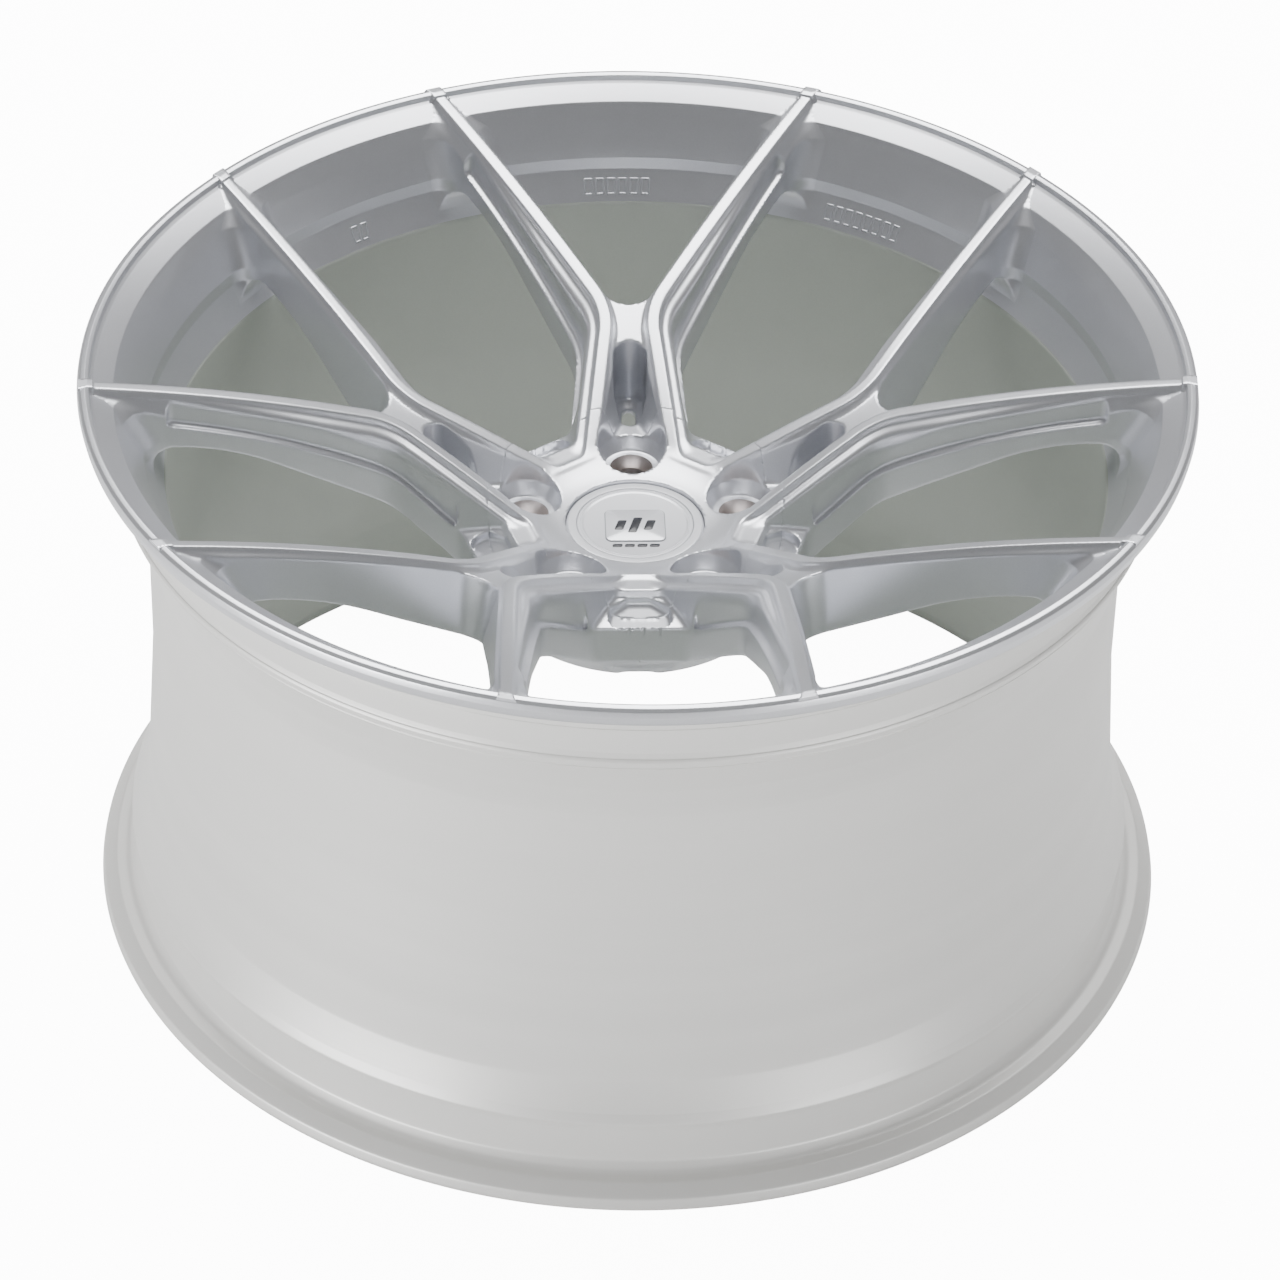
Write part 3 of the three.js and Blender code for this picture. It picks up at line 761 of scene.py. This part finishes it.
def forgedField(x, y, z):
    # Negative inside the metal. x runs out along the middle of a Y; every point is folded
    # into the tenth of the wheel between that line and the middle of the window beside it.
    # Slanting and upright faces are distances in plan and in depth, joined by smoothMax where
    # both must hold and by smoothMin where either does.
    r = np.hypot(x, y)
    angle = np.abs(np.arctan2(y, x))
    sector = math.radians(36)
    folded = np.abs(angle - 2 * sector * np.round(angle / (2 * sector)))
    u, v = r * np.cos(folded), r * np.sin(folded)
    sA = -planFields["ridge"](u, v)
    sW = planFields["wall"](u, v)
    sV = planFields["smallWindow"](u, v)
    depth = wheel["frontPlane"] - z
    dA = ridgeDepth(r)
    dWT = tableDepth(r, wallTopTable)
    dBack = tableDepth(r, backTable)
    # ridge, or the hub's face inside it
    bDrop = np.interp(r, spoke["stepRadii"], spoke["stepDrops"])
    bWidth = spoke["stepWidth"]
    half = np.interp(r, [200, 262], [spoke["ridgeHalf"], spoke["ridgeTipHalf"]])
    wallB = (sA - half - bWidth * (depth - dA) / bDrop) * 0.92
    innerWall = (-sA - half - 0.6 * (depth - dA) / 2.2) * 0.96
    innerWall = np.where(u < 60, -5.0, innerWall)
    ridge = smoothMax(smoothMax(wallB, dA - depth, 0.9), innerWall, 0.9)
    # outer shoulder and flank
    total = np.maximum(sA + sW, 4.6)
    q = sA - half
    cEnd = np.clip(total - half - 4.2, bWidth + 0.2, 6.0)
    share = np.clip((q - bWidth) / np.maximum(cEnd - bWidth, 0.3), 0, 1.4)
    shoulderDepth = dA + bDrop + 1.3 * share * share
    dC = dA + bDrop + 1.3
    run = np.maximum(total - half - cEnd, 0.6)
    fall = np.maximum(dWT - dC, 3.0)
    wallD = (q - cEnd - run * (depth - dC) / fall) / np.sqrt(1 + (run / fall) ** 2)
    outer = smoothMax(shoulderDepth - depth, wallD, 1.6)
    # inner shoulder, saddle and the small window's leaning wall
    p = -sA - half
    innerShare = np.clip((p - 0.6) / 2.4, 0, 1.1)
    innerDepth = dA + 2.2 + 1.8 * innerShare
    inner = innerDepth - depth
    top = np.where(sA > 0, outer, inner)
    f = smoothMin(ridge, top, 1.4)
    lean = np.clip(spoke["windowLean"] * (1 - (r - 130) / 115), 0.3, spoke["windowLean"])
    t = np.clip((depth - dA - 4) / np.maximum(dBack - dA - 4, 5), -0.2, 1.2)
    windowWall = (lean * (1 - t) - sV) * 0.97
    f = smoothMax(f, windowWall, 1.0)
    # upright wall of the large window
    f = smoothMax(f, -sW, 0.7)
    # milled slot along the flank
    w = u * sin36 - v * cos36
    slot = smoothMax(sW - spoke["slotWidth"], spoke["slotInnerEnd"] - w, 5.0)
    slot = smoothMax(slot, r - spoke["slotOuterEnd"], 4.0)
    slot = smoothMax(slot, depth - dWT, 3.0)
    f = smoothMax(f, -slot, 0.7)
    # web between two Ys: flat beside the ridge, a small step, then a slope with a pocket in it
    outward = u * cos36 + v * sin36
    webTop = np.interp(outward, web["reach"], web["depth"])
    halfWidth = web["halfWidth"][0] + web["halfWidth"][1] * np.clip(outward - 62.0, -8.0, 24.0)
    side = (np.abs(w) - halfWidth - 0.35 * np.clip(depth - webTop, 0.0, 14.0)) * 0.9
    filling = smoothMax(webTop - depth, side, 2.0)
    filling = smoothMax(filling, outward - web["edge"], 1.2)
    filling = smoothMax(filling, depth - web["backDepth"] - 0.9 * (web["edge"] - outward), 1.5)
    filling = smoothMax(filling, web["start"] - outward, 2.0)
    f = smoothMin(f, filling, 3.0)
    outline = polygonDistance(outward, np.abs(w), web["pocketOutline"]) - web["pocketRounding"]
    pocketFloor = web["pocketDepth"] + web["pocketSlope"] * (outward - 68.0)
    pocket = smoothMax(outline, (depth - pocketFloor) * 0.88, 2.4)
    f = smoothMax(f, -pocket, 0.7)
    # between the ridges: leaning-walled shelf, deep pocket, drain, lug bore
    shelfPlan = slotDistance(u, v, *spoke["shelf"])
    shelf = smoothMax((3.2 * shelfPlan + depth - dA) / 3.35, depth - spoke["shelfDepth"], 3.0)
    deepPlan = slotDistance(u, v, *spoke["deepPocket"])
    deepRadius = spoke["deepPocket"][1]
    roundFloor = deepRadius - np.sqrt(np.maximum(deepRadius ** 2 - np.minimum(np.abs(v), 8.4) ** 2, 1.0))
    deep = smoothMax(deepPlan, depth - (dBack - 3.0 - roundFloor), 1.5)
    drain = slotDistance(u, v, *spoke["drain"])
    lug = np.hypot(u - spoke["lugCircle"], v)
    boreDepth = spoke["lugBoreDepth"]
    cone = (lug - spoke["lugBoreRadius"] - 0.427 * np.clip(boreDepth - depth, 0, 7.5)) * 0.94
    bore = smoothMax(cone, depth - boreDepth, 0.6)
    seatHole = np.minimum(
        np.maximum(lug - spoke["seatRadius"], depth - boreDepth - 14),
        np.maximum(lug - spoke["boltRadius"], depth - 160),
    )
    f = smoothMax(f, -shelf, 0.8)
    f = smoothMax(f, -deep, 0.7)
    f = np.maximum(f, -drain)
    f = smoothMax(f, -bore, 0.7)
    f = np.maximum(f, -seatHole)
    # cap recess, bore and back
    f = smoothMax(f, -np.maximum(r - spoke["capRadius"], depth - spoke["capDepth"]), 0.5)
    f = np.maximum(f, -np.maximum(r - spoke["boreRadius"], depth - 160))
    rearRadius, rearDepth = spoke["rearBore"]
    f = np.maximum(f, -np.maximum(r - rearRadius, rearDepth - depth))
    f = smoothMax(f, depth - dBack, 1.0)
    # the legs run out into the rim, with a broad fillet, and end inside its metal
    rimFace = np.interp(depth, rimInside[:, 0], rimInside[:, 1])
    fillet = np.interp(depth, [-2.0, 3.0, 12.0], [0.8, 3.0, 14.0])
    joined = smoothMin(f, (rimFace + 0.12 - r) * 0.9, fillet)
    kept = np.minimum(r - rimFace - spoke["rimOverlap"], np.maximum(r - spoke["lipRadius"], depth + 1.2))
    kept = np.maximum(kept, spoke["lipDepth"] - depth)
    return np.maximum(np.maximum(joined, kept), f - 0.9 * fillet - 0.5)


def turnOfSpoke(k):
    # Rotation that carries the x axis to the middle of the k-th Y.
    angle = math.radians(wheel["firstSpoke"] + 360 / wheel["spokes"] * k)
    return np.array([[math.cos(angle), -math.sin(angle), 0], [math.sin(angle), math.cos(angle), 0], [0, 0, 1]])


def contour(field, low, high, cell):
    # Dual contouring. Each lattice edge that crosses the surface gets its crossing point by
    # bisection and the field's slope there; each lattice box with crossings gets one vertex,
    # where the tangent planes at its crossings meet best; each crossed edge gives a quad
    # between the four boxes round it.
    axes = [np.arange(low[k], high[k] + cell, cell) for k in range(3)]
    shape = tuple(len(a) for a in axes)
    values = np.empty(shape, dtype=np.float32)
    for start in range(0, shape[0], 24):
        part = slice(start, start + 24)
        values[part] = field(axes[0][part, None, None], axes[1][None, :, None], axes[2][None, None, :])
    inside = values < 0
    origin = np.array([a[0] for a in axes])
    points, slopes, quads = [], [], []
    for axis in range(3):
        lead = [slice(None)] * 3
        trail = [slice(None)] * 3
        lead[axis], trail[axis] = slice(0, -1), slice(1, None)
        crossed = np.argwhere(inside[tuple(lead)] != inside[tuple(trail)])
        b, c = (axis + 1) % 3, (axis + 2) % 3
        keep = (crossed[:, b] > 0) & (crossed[:, c] > 0)
        keep &= (crossed[:, b] < shape[b] - 1) & (crossed[:, c] < shape[c] - 1)
        crossed = crossed[keep]
        start = origin + crossed * cell
        startsInside = inside[tuple(crossed.T)]
        near = np.zeros(len(crossed))
        far = np.ones(len(crossed))
        step = np.zeros(3)
        step[axis] = cell
        for _ in range(11):
            middle = 0.5 * (near + far)
            at = start + middle[:, None] * step
            same = (field(at[:, 0], at[:, 1], at[:, 2]) < 0) == startsInside
            near = np.where(same, middle, near)
            far = np.where(same, far, middle)
        at = start + (0.5 * (near + far))[:, None] * step
        slope = np.empty_like(at)
        small = 0.03
        for k in range(3):
            ahead, behind = at.copy(), at.copy()
            ahead[:, k] += small
            behind[:, k] -= small
            slope[:, k] = field(*ahead.T) - field(*behind.T)
        slope /= np.maximum(np.linalg.norm(slope, axis=1, keepdims=True), 1e-9)
        corner = np.zeros((4, 3), dtype=np.int64)
        corner[:, b] = [-1, 0, 0, -1]
        corner[:, c] = [-1, -1, 0, 0]
        boxes = crossed[:, None, :] + corner[None, :, :]
        key = (boxes[..., 0] * shape[1] + boxes[..., 1]) * shape[2] + boxes[..., 2]
        key = np.where(startsInside[:, None], key, key[:, ::-1])
        quads.append(key)
        points.append(at)
        slopes.append(slope)
    quads = np.concatenate(quads)
    points = np.repeat(np.concatenate(points), 4, axis=0)
    slopes = np.repeat(np.concatenate(slopes), 4, axis=0)
    boxes, faces = np.unique(quads, return_inverse=True)
    faces = faces.reshape(-1, 4)
    member = faces.ravel()
    count = len(boxes)
    crossings = np.bincount(member, minlength=count).astype(float)

    def total(weights):
        return np.bincount(member, weights=weights, minlength=count)

    middle = np.stack([total(points[:, k]) for k in range(3)], axis=1) / crossings[:, None]
    offset = np.einsum("ij,ij->i", slopes, points - middle[member])
    matrix = np.empty((count, 3, 3))
    vector = np.empty((count, 3))
    for i in range(3):
        vector[:, i] = total(slopes[:, i] * offset)
        for j in range(i, 3):
            matrix[:, i, j] = matrix[:, j, i] = total(slopes[:, i] * slopes[:, j])
    matrix += np.eye(3) * (0.03 * crossings)[:, None, None] / 4
    vertices = middle + np.linalg.solve(matrix, vector[..., None])[..., 0]
    index = np.stack([boxes // (shape[1] * shape[2]), boxes // shape[2] % shape[1], boxes % shape[2]], axis=1)
    boxLow = origin + index * cell
    vertices = np.clip(vertices, boxLow, boxLow + cell)
    return vertices, faces


def makeForging():
    edge = wheel["hubEdge"]

    def spokeField(x, y, z):
        # one Y ends where the hub begins, and half way across the webs on its two sides
        besideWeb = np.abs(y) * cos36 - x * sin36
        return np.maximum(forgedField(x, y, z), np.maximum(edge - np.hypot(x, y), besideWeb))

    def hubField(x, y, z):
        return np.maximum(forgedField(x, y, z), np.hypot(x, y) - edge)

    def forgedPiece(node, vertices, faces):
        makeObject(
            node + "_skin",
            vertices,
            faces,
            paint["silverPaint"],
            "wheel",
            replaced=[node],
            slotName="silver_paint",
            sharp=65,
        )

    vertices, faces = contour(spokeField, (57.0, -114.13, 174.0), (272.0, 114.2, 309.0), spoke["cell"])
    print("spoke mesh:", len(vertices), "vertices", len(faces), "quads")
    for k in range(wheel["spokes"]):
        forgedPiece(f"y_spoke_{k + 1}", vertices @ turnOfSpoke(k).T, faces)
    vertices, faces = contour(hubField, (-74.3, -74.3, 165.0), (74.3, 74.3, 236.0), spoke["hubCell"])
    print("hub mesh:", len(vertices), "vertices", len(faces), "quads")
    forgedPiece("wheel_hub", vertices @ turnOfSpoke(0).T, faces)


makeForging()
print("forging made")


lug = {"circle": 56.0, "outer": 13.2, "top": 98.0, "bottom": 112.0, "coneTop": 10.8, "hole": 7.5, "coneDepth": 6.0}


def makeLugSeats():
    # A bare ring in each lug pocket: flat top, cone down to the bolt hole.
    section = [
        (lug["outer"], lug["top"] + 0.05, 0.3),
        (lug["coneTop"], lug["top"] + 0.05, 0.5),
        (lug["hole"] + 0.1, lug["top"] + lug["coneDepth"], 0.4),
        (lug["hole"], lug["bottom"], 0.2),
        (lug["outer"], lug["bottom"], 0.3),
    ]
    for k in range(wheel["spokes"]):
        angle = math.radians(wheel["firstSpoke"] + 360 / wheel["spokes"] * k)
        place = np.eye(4)
        place[:3, 3] = lug["circle"] * math.cos(angle), lug["circle"] * math.sin(angle), 0
        heights = [(r, heightOf(d), rounding) for r, d, rounding in section]
        turned(
            f"lug_seat_{k + 1}_skin",
            heights,
            paint["bareSeat"],
            "wheel",
            segments=96,
            place=place,
            replaced=[f"lug_seat_{k + 1}"],
            slotName="bare_seat",
            sharp=40,
        )


makeLugSeats()
print("lug seats made")

hubRing = {"inner": 33.3, "outer": 36.2, "front": 124.0, "back": 135.0, "chamfer": 0.8}


def makeHubRing():
    # A plain plastic ring with a lead-in chamfer at the back.
    turned(
        "hub_ring_skin",
        [
            (hubRing["inner"], hubRing["front"] + 0.1, 0.4),
            (hubRing["inner"], hubRing["back"] - hubRing["chamfer"], 0.2),
            (hubRing["inner"] + hubRing["chamfer"], hubRing["back"], 0.2),
            (hubRing["outer"], hubRing["back"], 0.5),
            (hubRing["outer"], hubRing["front"] + 0.1, 0.4),
        ],
        paint["blackNylon"],
        "wheel",
        segments=128,
        replaced=["hub_ring"],
        slotName="black_nylon",
        sharp=40,
    )


makeHubRing()

cap = {
    "outer": 34.2,
    "seat": 97.3,
    "face": 91.7,
    "plate": 29.0,  # radius of the disc let into the body
    "line": 27.1,  # fine ring line on the disc
    "badge": (30.0, 26.0, 3.4),  # width, height, corner rounding
    "badgeMiddle": -2.0,
    "clips": 6,
    "clipGap": 17.0,  # degrees between two clip legs
    "wire": (24.8, 0.9, 108.5),
}


def roundedBox(width, high, rounding, middle=(0, 0), lean=0.0, perCorner=10):
    # Outline of a box with round corners, counter-clockwise; lean shifts its top sideways.
    x, y = width / 2 - rounding, high / 2 - rounding
    angle = np.linspace(0, math.pi / 2, perCorner)
    parts = []
    for turn, (cx, cy) in enumerate([(x, y), (-x, y), (-x, -y), (x, -y)]):
        t = angle + turn * math.pi / 2
        parts.append(np.stack([cx + rounding * np.cos(t), cy + rounding * np.sin(t)], axis=1))
    outline = np.concatenate(parts)
    outline[:, 0] += lean * outline[:, 1]
    return outline + np.array(middle)


def clipLeg(start, end):
    # One leg of the cap's skirt: its section carried through part of a turn, ends closed by fans.
    section, _ = roundedProfile(
        [
            (26.2, 96.6, 0.2),
            (26.2, 112.3, 0.4),
            (28.0, 112.3, 0.4),
            (28.7, 110.5, 0.5),
            (28.0, 108.5, 0.8),
            (28.0, 96.6, 0.2),
        ],
        arcStep=30,
    )
    angle = np.radians(np.linspace(start, end, 14))
    r, z = section[:, :1], heightOf(section[:, 1:])
    body = np.stack([r * np.cos(angle), r * np.sin(angle), z + 0 * angle], axis=-1)
    rows, columns = body.shape[:2]
    middles = body.mean(axis=0)[[0, -1]]
    faces = gridFaces(rows, columns, True, False)
    triangles = np.concatenate([faces[:, [0, 1, 2]], faces[:, [0, 2, 3]]])
    i = np.arange(rows)
    first = np.stack([i * columns, ((i + 1) % rows) * columns, np.full(rows, rows * columns)], axis=1)
    last = np.stack([((i + 1) % rows) * columns, i * columns, np.full(rows, rows * columns + 1)], axis=1)
    last[:, :2] += columns - 1
    faces = np.concatenate([triangles, first[:, ::-1], last[:, ::-1]])
    return np.concatenate([body.reshape(-1, 3), middles]), faces[:, ::-1]


def makeCap():
    # Body: a dished ring with a skirt of clip legs behind it.
    outer, face, seat, disc = cap["outer"], cap["face"], cap["seat"], cap["plate"]

    def lacquered(node, corners):
        turned(
            node + "_skin",
            corners,
            paint["capLacquer"],
            "centre_cap",
            segments=192,
            arcStep=12,
            replaced=[node],
            slotName="cap_silver",
            sharp=40,
        )

    def onCap(name, mesh, finish, slotName="cap_silver", replaced=()):
        makeObject(name, *mesh, paint[finish], "centre_cap", replaced=replaced, slotName=slotName, sharp=40)

    lacquered(
        "cap_body",
        [
            (0, seat, 0),
            (0, face + 3, 0),
            (disc + 0.1, face + 3, 0.2),
            (disc + 0.1, face + 0.3, 0.1),
            (disc + 0.5, face, 0.3),
            (outer - 1.0, face, 0.7),
            (outer, face + 1.0, 0.5),
            (outer, seat, 0.3),
        ],
    )
    step = 360 / cap["clips"]
    legs = [clipLeg(k * step + cap["clipGap"] / 2, (k + 1) * step - cap["clipGap"] / 2) for k in range(cap["clips"])]
    onCap("cap_clips", joinMeshes(legs), "capLacquer")
    line = cap["line"]
    lacquered(
        "cap_plate",
        [
            (0, face + 2.7, 0),
            (0, face + 0.55, 0),
            (line - 1.6, face + 0.55, 0.4),
            (line - 0.7, face + 0.15, 0.4),
            (line - 0.15, face + 0.15, 0.1),
            (line, face + 0.5, 0.05),
            (line + 0.15, face + 0.15, 0.1),
            (disc - 0.5, face + 0.15, 0.3),
            (disc - 0.1, face + 0.5, 0.2),
            (disc - 0.1, face + 2.7, 0.2),
        ],
    )
    top = heightOf(face) + 0.02
    width, high, rounding = cap["badge"]
    middle = (0, cap["badgeMiddle"])
    edge = plate(roundedBox(width, high, rounding, middle), [(0.0, top - 1.6), (0.0, top - 0.25), (0.25, top)])
    onCap("cap_badge_edge", edge, "badgeLine")
    inner = roundedBox(width - 0.9, high - 0.9, rounding - 0.4, middle)
    field = plate(inner, [(0.0, top - 1.2), (0.0, top + 0.03), (0.12, top + 0.09)])
    onCap("cap_badge_plate", field, "capLacquer")
    # The sign on it: three slanting bars, and a row of four short ones below the plate.
    bars = []
    for x, tall in ((-7.2, 8.0), (0.0, 12.5), (7.2, 8.0)):
        outline = roundedBox(4.4, tall, 0.9, (x, cap["badgeMiddle"]), lean=0.28, perCorner=6)
        bars.append(plate(outline, [(0.0, top - 0.8), (0.0, top + 0.12), (0.08, top + 0.16)]))
    for x in (-9.2, -3.1, 3.1, 9.2):
        outline = roundedBox(4.9, 2.3, 0.8, (x, cap["badgeMiddle"] - 16.2), lean=0.2, perCorner=6)
        bars.append(plate(outline, [(0.0, top - 1.5), (0.0, top - 0.32), (0.06, top - 0.28)]))
    onCap("cap_badge_sign", joinMeshes(bars), "badgeInk", "black_ink", ["cap_badge"])
    middleRadius, wireRadius, depth = cap["wire"]
    t = np.linspace(0, 2 * math.pi, 16, endpoint=False)
    ring = [(middleRadius + wireRadius * math.cos(a), depth + wireRadius * math.sin(a), 0) for a in t]
    turned(
        "cap_spring_ring_skin",
        ring,
        paint["springWire"],
        "centre_cap",
        segments=128,
        replaced=["cap_spring_ring"],
        slotName="spring_steel",
    )


makeCap()
print("centre cap made")

# The valve stands behind a leg, leaning from the drop centre towards the face.
valve = {"angle": 78.0, "lean": 18.0, "foot": (235.6, 76.0), "seat": 2.6, "seal": -4.4, "gap": 0.3}


def valvePlace():
    # The valve's own axis: up its stem, from the middle of the rim's wall.
    angle, lean = math.radians(valve["angle"]), math.radians(valve["lean"])
    outwards = np.array([math.cos(angle), math.sin(angle), 0])
    axis = -outwards * math.cos(lean) + np.array([0, 0, math.sin(lean)])
    side = np.array([-outwards[1], outwards[0], 0])
    place = np.eye(4)
    place[:3, 0], place[:3, 1], place[:3, 2] = np.cross(side, axis), side, axis
    place[:3, 3] = outwards * valve["foot"][0] + np.array([0, 0, heightOf(valve["foot"][1])])
    return place


def makeValve():
    # Turned pieces on the valve's axis, as (radius, height along the stem, rounding).
    place = valvePlace()
    seat, seal, gap = valve["seat"], valve["seal"], valve["gap"]
    washer = seat + gap + 1

    def piece(node, corners, finish, body, slotName, segments=64, **rest):
        turned(
            node + "_skin",
            corners,
            paint[finish],
            body,
            segments=segments,
            place=place,
            slotName=slotName,
            replaced=[node],
            sharp=40,
            **rest,
        )

    stem = [(2.2, -9, 0.2), (8, -9, 0.6), (8, -7, 0.6), (5.2, -6.4, 0.2), (5.2, 12, 0.3), (3.85, 13, 0.2)]
    for k in range(10):  # cap thread
        stem += [(3.85, 27.6 + k, 0.05), (3.45, 28.1 + k, 0.05)]
    stem += [(3.85, 37.6, 0.2), (3.5, 38, 0.1), (2.2, 38, 0.1)]
    piece("valve_stem", stem, "anodised", "wheel", "anodised")
    piece(
        "valve_seal",
        [(5.5, -6.2, 0.2), (8.2, -6.7, 0.4), (8.8, seal - gap, 0.5), (5.5, seal - gap, 0.2)],
        "blackRubber",
        "wheel",
        "rubber",
    )
    piece(
        "valve_washer",
        [(5.6, seat + gap, 0.1), (8.9, seat + gap, 0.2), (8.9, washer, 0.2), (5.6, washer, 0.1)],
        "anodised",
        "wheel",
        "anodised",
    )
    # The nut: a bore inside, a hexagon outside, its corners turned off at both ends.
    low, high, across = washer + gap, washer + gap + 4.6, 6.58
    angle = np.linspace(0, 2 * math.pi, 144, endpoint=False)
    hexagon = across / np.cos((angle + math.pi / 6) % (math.pi / 3) - math.pi / 6)
    rows = []
    for radius, z in (
        (5.5, low),
        (np.minimum(hexagon, 6.9), low),
        (hexagon, low + 0.45),
        (hexagon, high - 0.45),
        (np.minimum(hexagon, 6.9), high),
        (5.5, high),
    ):
        r = radius + 0 * angle
        rows.append(np.stack([r * np.cos(angle), r * np.sin(angle), z + 0 * angle], axis=1))
    vertices = np.concatenate(rows) @ place[:3, :3].T + place[:3, 3]
    faces = gridFaces(len(rows), len(angle))[:, ::-1]
    makeObject(
        "valve_nut_skin",
        vertices,
        faces,
        paint["anodised"],
        "wheel",
        replaced=["valve_nut"],
        slotName="anodised",
        sharp=30,
    )
    piece(
        "valve_core",
        [(0.9, 20, 0.1), (1.9, 20, 0.2), (1.9, 36.2, 0.2), (0.9, 36.2, 0.1)],
        "turnedBrass",
        "wheel",
        "brass",
        48,
    )
    piece(
        "valve_core_pin",
        [(0, 16, 0), (1.5, 16, 0.3), (1.5, 18.2, 0.2), (0.6, 18.2, 0.1), (0.6, 37.4, 0.25), (0, 37.4, 0)],
        "turnedBrass",
        "core_pin",
        "brass",
        40,
    )
    piece(
        "valve_cap_seal",
        [(1.2, 38.4, 0.1), (3.7, 38.4, 0.2), (3.7, 39.6, 0.2), (1.2, 39.6, 0.1)],
        "blackRubber",
        "dust_cap_seal",
        "rubber",
        48,
    )
    piece(
        "valve_cap",
        [
            (4.2, 30, 0.1),
            (4.85, 30, 0.3),
            (4.95, 40.4, 0.5),
            (4.3, 41.6, 0.4),
            (0, 41.6, 0),
            (0, 39.9, 0),
            (4.2, 39.9, 0.3),
        ],
        "anodised",
        "dust_cap",
        "anodised",
        192,
        flutes=(24, 0.12),
    )


makeValve()
print("valve made")

# Three groups of plain open slots on the band behind the face.
marks = {"start": (239.3, 38.5), "end": (231.3, 52.1), "line": 0.55, "sunk": 0.35}


def bandTube(path):
    # A thin closed tube along a path given as (degrees round the wheel, share across the band).
    start, end = np.array(marks["start"]), np.array(marks["end"])
    slope = (end - start) / np.linalg.norm(end - start)
    normal = np.array([-abs(slope[1]), -abs(slope[0])])  # towards the axle and the face
    angle = np.radians(path[:, 0])
    share = path[:, 1:]
    line = start + (end - start) * share
    ahead = np.roll(path, -1, axis=0) - np.roll(path, 1, axis=0)
    across = np.stack([-ahead[:, 1] * 15.8, np.radians(ahead[:, 0]) * 235], axis=1)
    across /= np.linalg.norm(across, axis=1, keepdims=True)
    t = np.linspace(0, 2 * math.pi, 8, endpoint=False)
    sideways = marks["line"] * np.cos(t)[:, None]
    proud = marks["sunk"] * np.sin(t)[:, None]
    r = line[:, 0] + proud * normal[0] + sideways * across[:, 1] * slope[0]
    d = line[:, 1] + proud * normal[1] + sideways * across[:, 1] * slope[1]
    a = angle + sideways * across[:, 0] / 235
    vertices = np.stack([r * np.cos(a), r * np.sin(a), heightOf(d)], axis=-1)
    return vertices.reshape(-1, 3), gridFaces(len(t), len(path))


def makeMarks():
    def box(middle, width, low, high, lean=0.0):
        outline = roundedBox(width, (high - low), 0.1 * (high - low), (0, 0), 0, 6)
        outline[:, 0] = middle + outline[:, 0] + lean * outline[:, 1]
        outline[:, 1] = (low + high) / 2 + outline[:, 1]
        return bandTube(outline)

    groups = {
        "rim_mark_left": [box(125.0 + k * 1.3, 0.8, 0.25, 0.75, 0.5 * (1 - k)) for k in range(2)],
        "rim_mark_top": [box(87.1 + k * 1.45, 0.95, 0.25, 0.75) for k in range(6)],
        "rim_mark_right": [box(53.5 + k * 1.35, 0.85, 0.25, 0.75) for k in range(8)],
    }
    for name, parts in groups.items():
        makeObject(name, *joinMeshes(parts), paint["markEdge"], "wheel", slotName="silver_paint", sharp=60)


makeMarks()
print("marks made")
